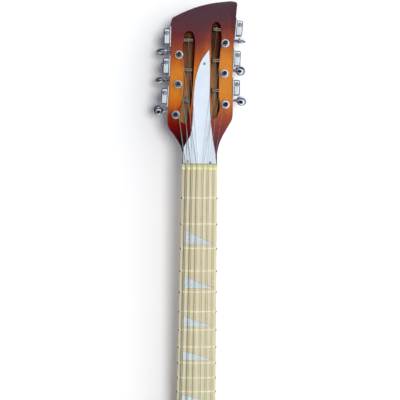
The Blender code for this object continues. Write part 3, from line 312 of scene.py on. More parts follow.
def effect(name, inputs, outputs, kind="Shader"):
    """An empty node group with named inputs and outputs; some inputs have a usual value."""
    tree = bpy.data.node_groups.new(name, f"{kind}NodeTree")
    for way, sockets in (("INPUT", inputs), ("OUTPUT", outputs)):
        for label, measure, *usual in sockets:
            socket = tree.interface.new_socket(label, in_out=way, socket_type=f"NodeSocket{measure}")
            if usual:
                socket.default_value = usual[0]
    return tree, tree.nodes.new("NodeGroupInput").outputs, tree.nodes.new("NodeGroupOutput").inputs


def use(tree, group, wires):
    """An effect placed in a material."""
    return add(tree, "ShaderNodeGroup", wires, node_tree=group).outputs


def noise(tree, where, scale, detail=3.0, distortion=0.0):
    """A soft noise from 0 to 1."""
    return add(tree, "ShaderNodeTexNoise",
               {"Vector": where, "Scale": scale, "Detail": detail, "Distortion": distortion}).outputs[0]


def make_grain():
    """Wood grain along Y: broad figure, and pores drawn out along it."""
    tree, given, result = effect(
        "wood_grain", [("Vector", "Vector"), ("Across", "Float", 300.0), ("Along", "Float", 8.0)],
        [("Figure", "Float"), ("Pores", "Float")])
    scale = add(tree, "ShaderNodeCombineXYZ", {0: given["Across"], 1: given["Along"], 2: given["Across"]})
    drawn = add(tree, "ShaderNodeVectorMath", {0: given["Vector"], 1: scale.outputs[0]},
                operation="MULTIPLY").outputs[0]
    tree.links.new(noise(tree, drawn, 0.35, 5.0, 0.6), result["Figure"])
    tree.links.new(noise(tree, drawn, 3.2), result["Pores"])
    return tree


def make_handling():
    """Roughness that varies with smudges and fine rubbing marks."""
    tree, given, result = effect(
        "handling", [("Vector", "Vector"), ("Least", "Float", 0.1), ("Most", "Float", 0.3),
                     ("Size", "Float", 60.0)], [("Roughness", "Float")])
    smudge = noise(tree, given["Vector"], given["Size"], 4.0)
    marks = noise(tree, given["Vector"], calc(tree, "MULTIPLY", given["Size"], 14.0), 2.0)
    both = calc(tree, "ADD", calc(tree, "MULTIPLY", smudge, 0.65), calc(tree, "MULTIPLY", marks, 0.35))
    tree.links.new(between(tree, both, 0.30, 0.72, given["Least"], given["Most"]), result["Roughness"])
    return tree


GRAIN = make_grain()
HANDLING = make_handling()


def new_finish(name, **fixed):
    """A material, with the values that are the same all over its surface set on its shader."""
    material = bpy.data.materials.new(name)
    material.use_nodes = True
    tree = material.node_tree
    shader = tree.nodes["Principled BSDF"]
    for key, value in fixed.items():
        shader.inputs[key.replace("_", " ").replace("Ior", "IOR")].default_value = value
    where = tree.nodes.new("ShaderNodeTexCoord").outputs["Object"]
    return material, tree, shader, where


def smudged(tree, where, least, most, size):
    """Roughness between two values, with smudges that are smaller as the size is larger."""
    return use(tree, HANDLING, {"Vector": where, "Least": least, "Most": most, "Size": size})["Roughness"]


def relief(tree, shader, height, strength, depth=0.0002):
    """A bump from a height, on a shader's normal."""
    bump = add(tree, "ShaderNodeBump", {"Height": height, "Strength": strength, "Distance": depth})
    tree.links.new(bump.outputs[0], shader.inputs["Normal"])


def wooden(name, across, along, **fixed):
    """A material with the broad figure and the fine pores of its wood."""
    material, tree, shader, where = new_finish(name, **fixed)
    grain = use(tree, GRAIN, {"Vector": where, "Across": across, "Along": along})
    return material, tree, shader, where, grain["Figure"], grain["Pores"]


def lacquered(tree, shader, where, colour, pores, share, filler, gloss, depth, low=0.35):
    """A clear lacquer over a colour, with a darker filler in the pores."""
    filled = between(tree, pores, low, 1 - low, 0.0, share)
    connect(shader, {"Base Color": mixed(tree, filled, colour, seen(*filler), "MULTIPLY"),
                     "Roughness": smudged(tree, where, *gloss)})
    relief(tree, shader, pores, depth)


def toned(name, tones, scale, rough, size=0.0, detail=3.0, distortion=0.0, stretch=None, pebble=0.0, **fixed):
    """A material whose tone drifts with a noise, and its roughness with the same or with smudges."""
    material, tree, shader, where = new_finish(name, **fixed)
    place = where
    if stretch:
        place = add(tree, "ShaderNodeMapping", {"Vector": where, "Scale": stretch}).outputs[0]
    tone = noise(tree, place, scale, detail, distortion)
    gloss = smudged(tree, where, *rough, size) if size else between(tree, tone, 0.3, 0.7, *rough)
    connect(shader, {"Base Color": ramp(tree, tone, tones), "Roughness": gloss})
    if pebble:
        relief(tree, shader, noise(tree, where, pebble, 2.0), 0.08)
    return material


def body_lacquer():
    """Sunburst: amber in the middle, through orange and red-brown to near black at the rim."""
    material, tree, shader, where, figure, pores = wooden(
        "body_lacquer", 240.0, 7.0, Coat_Weight=0.7, Coat_Roughness=0.03, Specular_Ior_Level=0.15)
    lobes = []
    for x, y, reach_x, reach_y in BURST_LOBES:
        offset = add(tree, "ShaderNodeVectorMath", {0: where, 1: (x, y, 0.0)}, operation="SUBTRACT")
        share = add(tree, "ShaderNodeVectorMath", {0: offset.outputs[0], 1: (1 / reach_x, 1 / reach_y, 0.0)},
                    operation="MULTIPLY")
        length = add(tree, "ShaderNodeVectorMath", {0: share.outputs[0]}, operation="LENGTH").outputs["Value"]
        lobes.append(calc(tree, "SUBTRACT", 1.0, length))
    inward = calc(tree, "SMOOTH_MAX", *lobes, 0.25)
    waver = between(tree, figure, 0.3, 0.7, -0.015, 0.015)
    burst = ramp(tree, calc(tree, "ADD", inward, waver), [
        (0.00, 40, 20, 20), (0.07, 58, 24, 20), (0.17, 120, 38, 14), (0.30, 186, 88, 26),
        (0.48, 214, 130, 46), (1.00, 228, 158, 72)])
    lacquered(tree, shader, where, burst, pores, 0.30, (104, 48, 16), (0.14, 0.24, 40.0), 0.05)
    return material


def routed_wood():
    """Bare sealed wood in the wells."""
    material, tree, shader, _, figure, pores = wooden("routed_wood", 260.0, 10.0)
    connect(shader, {"Base Color": ramp(tree, figure, [(0.3, 168, 132, 92), (0.7, 196, 162, 118)]),
                     "Roughness": between(tree, pores, 0.3, 0.7, 0.55, 0.75)})
    relief(tree, shader, pores, 0.25)
    return material


def axes(origin, x_axis, y_axis, z_axis):
    """A place, as the matrix of its origin and its three axes."""
    matrix = Matrix((x_axis, y_axis, z_axis)).transposed().to_4x4()
    matrix.translation = origin
    return matrix


def make_body():
    mirror = [(-key[0], *key[1:]) for key in reversed(BODY_HALF_OUTLINE[1:])]
    wood = slab("body", smooth_line(BODY_HALF_OUTLINE + mirror), 0.0, BODY_THICKNESS, BODY_ROUND, 5)
    pocket, length, depth = NECK_POCKET
    wells = [(-pocket, BODY_FRONT_Y - length - SEAT_GAP, pocket, BODY_FRONT_Y + length, depth)]
    wide, long, depth = PICKUP_WELL
    for y in PICKUP_PLACES.values():
        wells.append((-wide / 2 - SEAT_GAP, y - long / 2 - SEAT_GAP, wide / 2 + SEAT_GAP,
                      y + long / 2 + SEAT_GAP, depth + SEAT_GAP))
    wells.append(CONTROL_WELL)
    x, y = SWITCH_PLACE
    half = SWITCH_CASE[0] / 2 + 4 * SEAT_GAP
    wells.append((x - half, y - half, x + half, y + half, SWITCH_CASE[1] + 4 * SEAT_GAP))
    tools = [block((low_x, low_y, BODY_THICKNESS - depth), (high_x, high_y, BODY_THICKNESS + BEYOND))
             for low_x, low_y, high_x, high_y, depth in wells]
    for place, (radius, depth) in ((TAIL_PLACE, JACK_BORE), (HORN_PLACE, STRAP_BORE)):
        tools.append(moved(drum(radius, -depth, BEYOND, 24), place))
    bare = routed_wood()
    wood = worked("body_wood", painted(wood, body_lacquer()), cut=[painted(tool, bare) for tool in tools])
    piece("body_wood", wood, "sunburst_body", "body")


X, Y, Z = Vector((1.0, 0.0, 0.0)), Vector((0.0, 1.0, 0.0)), Vector((0.0, 0.0, 1.0))
TAIL_PLACE = axes(Vector((0.0, BODY_TAIL_Y, BODY_THICKNESS / 2)), X, Z, -Y)
HORN_PLACE = axes(Vector((-0.104, 0.260, BODY_THICKNESS / 2)), X, -Z, Y)
make_body()


# Neck: one piece of maple from the tenon to the tip of the head, with a D-shaped back. The head is
# bored for twelve tuners and has two blind channels; its sunburst is sprayed and stops at the nut.
SCALE_LENGTH = 0.62865
NUT_Y = SCALE_LENGTH
NUT_WIDTH = 0.0430
WIDTH_AT_FRET_12 = 0.0510
BOARD_THICKNESS = 0.0055
BOARD_RISE = 0.0090
BOARD_TOP = BODY_THICKNESS + BOARD_RISE
NECK_TOP = BOARD_TOP - BOARD_THICKNESS - SEAT_GAP
NUT_LENGTH = 0.0058
NECK_DEPTH_AT_NUT = 0.0155
NECK_DEPTH_AT_BODY = 0.0180
HEEL_DEPTH = 0.0250
HEEL_LENGTH = 0.036
TENON_LENGTH = 0.046
HEEL_SQUARENESS = 12.0
NECK_SQUARENESS = 2.3
CUFF_SQUARENESS = 2.5
CUFF_LENGTH = 0.022
CUFF_SINK = 0.0006
HEAD_ANGLE = math.radians(10.0)
HEAD_DROP = 0.0060
HEAD_THICKNESS = 0.0160
HEAD_ROUND = 0.0011
CHANNEL_DEPTH = 0.0115
CHANNEL_COVE = 0.0022
COVER_THICKNESS = 0.0015
POST_COLLAR_RADIUS = 0.0042
SLOT_COLLAR_LENGTH = 0.0145
CHANNEL_CROSSING = 0.012
BORE_START = -0.0016
HEAD_OUTLINE = [
    (0.0209, -0.0030, CORNER), (0.0207, 0.0080), (0.0213, 0.0180), (0.0252, 0.0341),
    (0.0340, 0.0510), (0.0392, 0.0605), (0.0403, 0.0700), (0.0394, 0.0960), (0.0395, 0.1340),
    (0.0413, 0.1640), (0.0440, 0.1972), (0.0442, 0.2002), (0.0431, 0.2026), (0.0402, 0.2035),
    (0.0270, 0.2030), (0.0130, 0.2010), (-0.0010, 0.1976), (-0.0150, 0.1925), (-0.0305, 0.1851),
    (-0.0345, 0.1827), (-0.0358, 0.1795), (-0.0361, 0.1460), (-0.0372, 0.1120), (-0.0395, 0.0720),
    (-0.0401, 0.0575), (-0.0388, 0.0506), (-0.0318, 0.0406), (-0.0228, 0.0255), (-0.0209, 0.0170),
    (-0.0209, -0.0030, CORNER),
]
BASS_CHANNEL = [
    (-0.0132, 0.0660), (-0.0109, 0.0800), (-0.0086, 0.1080), (-0.0074, 0.1360), (-0.0075, 0.1590),
    (-0.0093, 0.1648), (-0.0142, 0.1672), (-0.0189, 0.1646), (-0.0206, 0.1580), (-0.0202, 0.1210),
    (-0.0214, 0.0860), (-0.0264, 0.0616), (-0.0225, 0.0563), (-0.0165, 0.0550),
]
TREBLE_CHANNEL = [
    (0.0224, 0.0680), (0.0227, 0.0940), (0.0230, 0.1300), (0.0247, 0.1700), (0.0232, 0.1762),
    (0.0188, 0.1788), (0.0149, 0.1764), (0.0133, 0.1700), (0.0126, 0.1400), (0.0123, 0.1100),
    (0.0123, 0.0760), (0.0138, 0.0650), (0.0180, 0.0615),
]
ROD_RADIUS = 0.0025
ROD_DEPTH = 0.0072
ROD_POCKET = (0.0090, 0.009, 0.023)
ROD_BEHIND_FRONT = 0.03
HEEL_STEPS = 12
NECK_STEPS = 20
CUFF_STEPS = 7
CUFF_START = 0.0002
HEAD_ORIGIN = Vector((0.0, NUT_Y, BOARD_TOP - HEAD_DROP))
HEAD_OUT = Vector((0.0, math.sin(HEAD_ANGLE), math.cos(HEAD_ANGLE)))
HEAD = axes(HEAD_ORIGIN, X, Vector((0.0, math.cos(HEAD_ANGLE), -math.sin(HEAD_ANGLE))), HEAD_OUT)


def half_width(y):
    """Half the width of the neck and the board at a place along the neck."""
    return (NUT_WIDTH + (WIDTH_AT_FRET_12 - NUT_WIDTH) / (SCALE_LENGTH / 2) * (NUT_Y - y)) / 2


def loft(rings):
    """A closed solid through rings of as many points each, capped at both ends."""
    bm = bmesh.new()
    rows = [[bm.verts.new(point) for point in ring] for ring in rings]
    for near, far in zip(rows, rows[1:]):
        for i in range(len(near)):
            j = (i + 1) % len(near)
            bm.faces.new((near[i], near[j], far[j], far[i]))
    bm.faces.new(list(reversed(rows[0])))
    bm.faces.new(rows[-1])
    return made("loft", bm)


def squared(share, power):
    """The cosine or sine of a section that is rounder or squarer than a circle's 2."""
    return math.copysign(abs(share) ** (2 / power), share)


def back_ring(y, top, depth, squareness, points=36):
    """A D section of the neck: a flat top, and a back that is rounder or squarer."""
    ring = []
    for i in range(points + 1):
        angle = math.pi * i / points
        ring.append(Vector((half_width(y) * squared(math.cos(angle), squareness), y,
                            top - depth * squared(math.sin(angle), squareness))))
    return ring


def neck_blank():
    """The neck from its tenon to the nut, with its back carried a little way into the head."""
    rings = []
    for y in (BODY_FRONT_Y - TENON_LENGTH, BODY_FRONT_Y - SEAT_GAP):
        rings.append(back_ring(y, NECK_TOP, HEEL_DEPTH, HEEL_SQUARENESS))
    for step in range(1, HEEL_STEPS + 1):
        t = step / HEEL_STEPS
        depth = HEEL_DEPTH + (NECK_DEPTH_AT_BODY - HEEL_DEPTH) * t * t * (3 - 2 * t)
        squareness = NECK_SQUARENESS + (HEEL_SQUARENESS - NECK_SQUARENESS) * (1 - t) ** 3
        rings.append(back_ring(BODY_FRONT_Y + HEEL_LENGTH * t, NECK_TOP, depth, squareness))
    start = BODY_FRONT_Y + HEEL_LENGTH
    for step in range(1, NECK_STEPS + 1):
        t = step / NECK_STEPS
        depth = NECK_DEPTH_AT_BODY + (NECK_DEPTH_AT_NUT - NECK_DEPTH_AT_BODY) * t
        rings.append(back_ring(start + (NUT_Y - start) * t, NECK_TOP, depth, NECK_SQUARENESS))
    rings.append(back_ring(NUT_Y + NUT_LENGTH, NECK_TOP, NECK_DEPTH_AT_NUT, CUFF_SQUARENESS))
    fall = math.tan(HEAD_ANGLE)
    for step in range(CUFF_STEPS + 1):
        t = step / CUFF_STEPS
        y = NUT_Y + NUT_LENGTH + CUFF_START + CUFF_LENGTH * t
        top = HEAD_ORIGIN.z - fall * (y - NUT_Y) - CUFF_SINK
        bottom = NECK_TOP - NECK_DEPTH_AT_NUT - fall * CUFF_LENGTH * t * t
        rings.append(back_ring(y, top, top - bottom, CUFF_SQUARENESS * (1 + 2 * t)))
    return loft(rings)


def on_head(tree, where):
    """A point's places across, along and out of the head."""
    place = add(tree, "ShaderNodeMapping", {"Vector": where, "Location": HEAD_ORIGIN,
                                            "Rotation": (-HEAD_ANGLE, 0.0, 0.0)}, vector_type="TEXTURE")
    return add(tree, "ShaderNodeSeparateXYZ", {0: place.outputs[0]}).outputs


def head_lacquer():
    """The head's sunburst along its length, with a painted reflection of the lacquer's sheen in the treble
    half's paler tones, and clear maple on the neck below the nut.
    """
    material, tree, shader, where, figure, pores = wooden(
        "head_lacquer", 420.0, 9.0, Coat_Weight=0.7, Coat_Roughness=0.03, Specular_Ior_Level=0.12)
    across, along, out = on_head(tree, where)
    from_middle = calc(tree, "ABSOLUTE", across)
    waver = between(tree, figure, 0.3, 0.7, -0.010, 0.010)
    shift = calc(tree, "ADD", waver, between(tree, from_middle, 0.018, 0.004, 0.0, 0.02))
    place = calc(tree, "ADD", calc(tree, "DIVIDE", along, 0.205), shift)
    bass = ramp(tree, place, [
        (0.05, 26, 6, 12), (0.14, 42, 8, 16), (0.18, 58, 8, 14), (0.25, 116, 6, 2), (0.32, 146, 42, 6),
        (0.37, 196, 94, 20), (0.43, 212, 124, 36), (0.58, 214, 130, 44), (0.65, 188, 92, 34),
        (0.71, 150, 68, 42), (0.78, 108, 48, 50), (0.86, 88, 54, 62), (1.00, 80, 52, 64)])
    # The treble half's colours hold a painted reflection: the lacquer's pale, bluish sheen is mixed into the
    # burst.
    treble = ramp(tree, place, [
        (0.05, 82, 46, 58), (0.16, 102, 56, 64), (0.25, 138, 64, 60), (0.31, 164, 80, 54),
        (0.37, 196, 108, 48), (0.43, 216, 134, 50), (0.64, 220, 138, 50), (0.71, 196, 112, 48),
        (0.77, 156, 74, 48), (0.84, 108, 54, 54), (0.90, 86, 54, 62), (1.00, 78, 54, 66)])
    burst = mixed(tree, between(tree, across, -0.010, 0.022), bass, treble)
    burst = mixed(tree, between(tree, from_middle, 0.0345, 0.0405, 0.0, 0.22), burst, seen(60, 24, 14))
    burst = mixed(tree, between(tree, out, -0.0004, -0.0022, 0.0, 0.72), burst, seen(52, 14, 10))
    maple = ramp(tree, figure, [(0.25, 206, 180, 136), (0.75, 226, 204, 160)])
    coloured = mixed(tree, between(tree, along, -0.010, 0.004), maple, burst)
    lacquered(tree, shader, where, coloured, pores, 0.22, (120, 72, 40), (0.18, 0.30, 45.0), 0.04)
    return material


def channel_stain():
    """Thin stain in the channels: red-brown walls over a paler floor, with painted shade on the floor towards
    the deep tip end and a painted shadow along each channel's right wall.
    """
    material, tree, shader, where, figure, pores = wooden(
        "channel_stain", 420.0, 12.0, Specular_Ior_Level=0.2)
    across, along, out = on_head(tree, where)
    floor = ramp(tree, figure, [(0.3, 106, 58, 28), (0.5, 152, 104, 60), (0.7, 178, 136, 88)])
    wall = ramp(tree, figure, [(0.3, 84, 22, 2), (0.7, 132, 50, 12)])
    # Painted shade: the floor darkens towards the channel's deep tip end, round the posts.
    tip = calc(tree, "MULTIPLY", between(tree, along, 0.090, 0.158),
               between(tree, across, -0.03, 0.02, 0.80, 1.0))
    floor = mixed(tree, calc(tree, "MULTIPLY", tip, 0.92), floor, seen(58, 28, 18))
    # Painted shadow: a dark strip of floor along each channel's right wall, as if the wall shaded it from the
    # light on the right.
    bass_wall_shadow = calc(tree, "MULTIPLY", between(tree, across, -0.0122, -0.0095),
                     between(tree, across, 0.002, 0.0))
    painted_wall_shadow = calc(tree, "MAXIMUM", bass_wall_shadow, between(tree, across, 0.0195, 0.0225))
    floor = mixed(tree, calc(tree, "MULTIPLY", painted_wall_shadow, 0.8), floor, seen(84, 28, 6))
    connect(shader, {"Base Color": mixed(tree, between(tree, out, -0.0104, -0.01135), wall, floor),
                     "Roughness": between(tree, pores, 0.3, 0.7, 0.35, 0.6)})
    relief(tree, shader, pores, 0.15)
    return material


def joint_frames():
    """Each tuner's place from its two joints: Z along the post, X along the worm, Y to the tip."""
    named = {joint["name"]: joint for joint in frame["joints"]}
    places = {}
    for joint in frame["joints"]:
        if not joint["name"].startswith("turn_post_"):
            continue
        name = joint["name"].removeprefix("turn_post_")
        worm = named[f"turn_button_{name}"]
        z_axis = Vector(joint["axis"]).normalized()
        x_axis = Vector(worm["axis"]).normalized()
        y_axis = z_axis.cross(x_axis).normalized()
        if (Vector(worm["pos_m"]) - Vector(joint["pos_m"])).dot(y_axis) < 0:
            y_axis = -y_axis
        places[name] = axes(Vector(joint["pos_m"]), x_axis, y_axis, z_axis)
    return places


TUNER_PLACES = joint_frames()


def reach_of(node, place):
    """How far a node's CAD solid reaches along Z of a place."""
    inverse = place.inverted()
    return max((inverse @ vertex.co).z for vertex in frame["nodes"][node].data.vertices)


def make_neck():
    lacquer = head_lacquer()
    stain = channel_stain()
    head = painted(slab("head", smooth_line(HEAD_OUTLINE), -HEAD_THICKNESS, 0.0, HEAD_ROUND), lacquer)
    rod_z = NECK_TOP - ROD_DEPTH
    width, start, length = ROD_POCKET
    clear = ROD_RADIUS + SEAT_GAP
    cutters = [
        block((-NUT_WIDTH, NUT_Y - HEAD_DROP, NECK_TOP),
              (NUT_WIDTH, NUT_Y + NUT_LENGTH + SEAT_GAP, BOARD_TOP)),
        block((-clear, BODY_FRONT_Y - ROD_BEHIND_FRONT, rod_z - clear), (clear, NUT_Y + start, BOARD_TOP)),
        block((-width / 2, NUT_Y + start - SEAT_GAP, rod_z - width / 2),
              (width / 2, NUT_Y + start + length, BOARD_TOP)),
    ]
    for keys in (BASS_CHANNEL, TREBLE_CHANNEL):
        channel = slab("channel", smooth_line(keys), -CHANNEL_DEPTH, 2 * CHANNEL_COVE, CHANNEL_COVE)
        cutters.append(moved(channel, HEAD))
    for name, place in TUNER_PLACES.items():
        through = HEAD_THICKNESS + COVER_THICKNESS
        if name.startswith("slot"):
            through = SLOT_COLLAR_LENGTH + CHANNEL_CROSSING
        cutters.append(moved(drum(POST_COLLAR_RADIUS + SEAT_GAP, BORE_START, through), place))
    wood = worked("neck_wood", painted(neck_blank(), lacquer), join=[moved(head, HEAD)],
                  cut=[painted(cutter, stain) for cutter in cutters])
    piece("neck_wood", wood, "sunburst_neck", "neck")


make_neck()


# Truss rod: a steel rod with a hexagonal nut, laid in a groove under the fingerboard. It is adjusted
# in the pocket under the white plate.
STEEL = toned("brushed_steel", [(0.3, 150, 152, 156), (0.7, 196, 198, 202)], 1.0, (0.25, 0.42),
              stretch=(900.0, 30.0, 900.0), Metallic=1.0)
painted(frame["nodes"]["truss_rod"].data, STEEL)


# Fingerboard: a slip of lacquered maple with a cambered top, glued to the neck. Its frets are
# pressed in, its pearl triangles are let in flush, and small dark pins at the frets' ends are painted shade.
FRET_COUNT = 21
BOARD_RADIUS = 0.254
BOARD_OVERHANG = 0.008
BOARD_EDGE = 0.0009
BOARD_HALF_FACETS = 14
FRET_WIDTH = 0.0024
FRET_HEIGHT = 0.0010
FRET_INSET = 0.0006
FRET_FOOT = -0.0003
FRET_SECTIONS = [
    (-1.0, 0.25), (-0.985, 0.75), (-0.96, 1.0), (-0.6, 1.0), (-0.3, 1.0), (0.0, 1.0), (0.3, 1.0), (0.6, 1.0),
    (0.96, 1.0), (0.985, 0.75), (1.0, 0.25),
]
INLAY_FRETS = (3, 5, 7, 9, 12, 15, 17, 19, 21)
INLAY_BASS_MARGIN = 0.0062
INLAY_TREBLE_MARGIN = 0.0040
INLAY_LINE = 0.00015
FRET_PIN_RADIUS = 0.0012
FRET_PIN_INSET = 0.35
FRET_PIN_FACING = (0.6, 0.8)
INLAY_SHARE = 0.56
INLAY_FROM_FRET = 0.0056
INLAY_DEPTH = 0.0006
INLAY_TIP = 0.0002
INLAY_COLUMNS = 16
PEARL_STAND = 0.00006
LINE_STAND = 0.00003
SPIN_STEP = 0.7
SPIN_MOST = 1.5


def crown_drop(x):
    """How far the camber of the board, nut and saddles falls below its middle."""
    return BOARD_RADIUS - math.sqrt(BOARD_RADIUS ** 2 - x ** 2)


def fret_y(number):
    return NUT_Y - SCALE_LENGTH * (1.0 - 2.0 ** (-number / 12.0))


BOARD_END_Y = fret_y(FRET_COUNT) - BOARD_OVERHANG


def lacquered_maple():
    """Pale maple under clear lacquer, with fine grain lines, a little greener towards the body."""
    material, tree, shader, where, figure, pores = wooden(
        "lacquered_maple", 520.0, 6.0, Coat_Weight=0.4, Coat_Roughness=0.05, Specular_Ior_Level=0.15)
    tone = ramp(tree, figure, [(0.25, 211, 199, 163), (0.5, 224, 214, 181), (0.75, 232, 222, 191)])
    along = add(tree, "ShaderNodeSeparateXYZ", {0: where}).outputs[1]
    greener = between(tree, along, fret_y(12), fret_y(5), 1.0, 0.0)
    tone = mixed(tree, greener, tone, seen(244, 251, 248), "MULTIPLY")
    lacquered(tree, shader, where, tone, pores, 0.20, (200, 176, 136), (0.22, 0.36, 50.0), 0.05, 0.38)
    return material


def make_board():
    """The board, with a rounded edge along both sides, rounded down at its end too."""
    rings = []
    for y, sunk in ((BOARD_END_Y, BOARD_EDGE), (BOARD_END_Y + BOARD_EDGE, 0.0), (NUT_Y - SEAT_GAP, 0.0)):
        half = half_width(y)
        inner = half - BOARD_EDGE
        high = BOARD_TOP - sunk
        edge = []
        for angle in (math.pi / 6, math.pi / 3, math.pi / 2):
            lift = BOARD_EDGE * (1 - math.cos(angle))
            edge.append((inner + BOARD_EDGE * math.sin(angle), high - crown_drop(inner) - lift))
        edge.append((half, BOARD_TOP - BOARD_THICKNESS))
        top = [inner * a / BOARD_HALF_FACETS for a in range(-BOARD_HALF_FACETS, BOARD_HALF_FACETS + 1)]
        rings.append([Vector((x, y, high - crown_drop(x))) for x in top]
                     + [Vector((x, y, z)) for x, z in edge]
                     + [Vector((-x, y, z)) for x, z in reversed(edge)])
    piece("fingerboard_maple", painted(loft(rings), lacquered_maple()), "maple", "fingerboard")


def geometry_tree(name, sizes):
    """An empty geometry tree that takes named sizes besides its guide."""
    return effect(name, [("Geometry", "Geometry"), *sizes], [("Geometry", "Geometry")], "Geometry")


def close_tree(tree, result, geometry, material):
    """Realize what the tree made, and give it its material."""
    real = add(tree, "GeometryNodeRealizeInstances", {"Geometry": geometry})
    coated = add(tree, "GeometryNodeSetMaterial", {"Geometry": real.outputs[0], "Material": material})
    tree.links.new(coated.outputs[0], result[0])
    return tree


def carried(tree, label, kind="FLOAT"):
    """What the marks carry under a name."""
    return add(tree, "GeometryNodeInputNamedAttribute", {"Name": label}, data_type=kind).outputs[0]


def instances(tree, points, part, **wires):
    """A copy of a part on each point."""
    shape = add(tree, "GeometryNodeObjectInfo", {"Object": part}).outputs["Geometry"]
    wires = {"Points": points, "Instance": shape, **wires}
    return add(tree, "GeometryNodeInstanceOnPoints", wires).outputs[0]


def grown(name, guide_mesh, tree, sizes, part=None):
    """What a geometry tree makes of a guide mesh, and of a part if it takes one, as a plain mesh."""
    guide = linked(name, guide_mesh)
    modifier = guide.modifiers.new(tree.name, "NODES")
    modifier.node_group = tree
    if part:
        sizes = {**sizes, "Part": linked(f"{name}_part", part)}
    for item in tree.interface.items_tree:
        if item.in_out == "INPUT" and item.name in sizes:
            modifier[item.identifier] = sizes[item.name]
    bpy.context.view_layer.update()
    mesh = plain(guide)
    if part:
        bpy.data.objects.remove(sizes["Part"], do_unlink=True)
    return mesh


def marks(name, places, values):
    """A mesh of loose points that carry named numbers or directions for a tree to read."""
    mesh = bpy.data.meshes.new(name)
    mesh.from_pydata(places, [], [])
    for label, row in values.items():
        kind = "FLOAT_VECTOR" if isinstance(row[0], Vector) else "FLOAT"
        attribute = mesh.attributes.new(label, kind, "POINT")
        for item, value in zip(attribute.data, row):
            if kind == "FLOAT":
                item.value = value
            else:
                item.vector = value
    return mesh


def fret_tree():
    """A wire on each mark, drawn out to its half length and bent over the board's camber."""
    tree, given, result = geometry_tree(
        "frets", [("Part", "Object"), ("Camber", "Float"), ("Metal", "Material")])
    drawn = add(tree, "ShaderNodeCombineXYZ", {0: carried(tree, "half"), 1: 1.0, 2: 1.0})
    placed = instances(tree, given["Geometry"], given["Part"], Scale=drawn.outputs[0])
    real = add(tree, "GeometryNodeRealizeInstances", {"Geometry": placed})
    where = tree.nodes.new("GeometryNodeInputPosition").outputs[0]
    x = add(tree, "ShaderNodeSeparateXYZ", {0: where}).outputs[0]
    squares = calc(tree, "SUBTRACT", calc(tree, "POWER", given["Camber"], 2.0), calc(tree, "MULTIPLY", x, x))
    lift = calc(tree, "SUBTRACT", calc(tree, "SQRT", squares), given["Camber"])
    shift = add(tree, "ShaderNodeCombineXYZ", {2: lift})
    bent = add(tree, "GeometryNodeSetPosition", {"Geometry": real.outputs[0], "Offset": shift.outputs[0]})
    return close_tree(tree, result, bent.outputs[0], given["Metal"])


def fret_wire():
    """One fret of unit half length along X: a low crown over a tang, with its ends rounded down."""
    crown = [polar(1.0, math.pi * i / 8) for i in range(9)]
    rings = []
    for along, size in FRET_SECTIONS:
        ring = [Vector((along, -FRET_WIDTH / 2 * point.x, FRET_HEIGHT * point.y * size)) for point in crown]
        rings.append(ring + [Vector((along, side * FRET_WIDTH / 2, FRET_FOOT)) for side in (1, -1)])
    return loft(rings)


def make_frets():
    # Painted highlight: the frets are a pale cream, mostly diffuse, that stands in for the bright reflections
    # of polished fret metal.
    metal = toned("fret_metal", [(0.3, 246, 238, 204), (0.7, 255, 250, 222)], 300.0, (0.24, 0.40), 180.0,
                  detail=2.0, Metallic=0.15)
    middles = [Vector((0.0, fret_y(number), BOARD_TOP)) for number in range(1, FRET_COUNT + 1)]
    guide = marks("frets", middles, {"half": [half_width(middle.y) - FRET_INSET for middle in middles]})
    wires = grown("frets", guide, fret_tree(), {"Camber": BOARD_RADIUS, "Metal": metal}, fret_wire())
    piece("frets", wires, "steel", "fingerboard", crease=50.0)


def fixing_tree():
    """One part on each mark, turned to its facing, spun about it, and scaled to its size."""
    tree, given, result = geometry_tree("fixings", [("Part", "Object"), ("Finish", "Material")])
    facing = carried(tree, "facing", "FLOAT_VECTOR")
    upright = add(tree, "FunctionNodeAlignRotationToVector", {"Vector": facing}, axis="Z")
    turn = add(tree, "FunctionNodeAxisAngleToRotation", {"Axis": Z, "Angle": carried(tree, "spin")})
    rotation = add(tree, "FunctionNodeRotateRotation",
                   {0: upright.outputs[0], 1: turn.outputs[0]}, rotation_space="LOCAL")
    placed = instances(tree, given["Geometry"], given["Part"], Rotation=rotation.outputs[0],
                       Scale=carried(tree, "size"))
    return close_tree(tree, result, placed, given["Finish"])


FIXINGS = fixing_tree()


def fixed_on(name, part, places, facings, size, finish):
    """Like parts set on their places, as one mesh."""
    turns = [(SPIN_STEP * i) % SPIN_MOST for i in range(len(places))]
    guide = marks(name, places, {"facing": facings, "spin": turns, "size": [size] * len(places)})
    return grown(name, guide, FIXINGS, {"Finish": finish}, part)


def screws(name, places, facing, size, *nodes, head=None, finish=STEEL, slot="steel"):
    """A piece of like screws that all face one way."""
    facings = [facing] * len(places)
    piece(name, fixed_on(name, head or screw_head(), places, facings, size, finish), slot, *nodes)


def triangles(name, spread, height):
    """Right-angled triangles, upright along the bass side and foot towards the body."""
    shapes = []
    for number in INLAY_FRETS:
        space = fret_y(number - 1) - fret_y(number)
        foot = fret_y(number) + INLAY_FROM_FRET * space / (fret_y(2) - fret_y(3))
        low_x = INLAY_BASS_MARGIN - half_width(foot)
        high_x = half_width(foot) - INLAY_TREBLE_MARGIN
        rings = []
        for i in range(INLAY_COLUMNS + 1):
            t = i / INLAY_COLUMNS
            x = low_x - spread + (high_x - low_x + 3 * spread) * t
            top = BOARD_TOP - crown_drop(x) + height
            tip = max(foot + INLAY_SHARE * space * (1 - t), foot + INLAY_TIP) + spread
            rings.append([(x, y, z) for y, z in ((foot - spread, top), (tip, top), (tip, top - INLAY_DEPTH),
                                                 (foot - spread, top - INLAY_DEPTH))])
        shapes.append(loft(rings))
    return together(name, shapes)


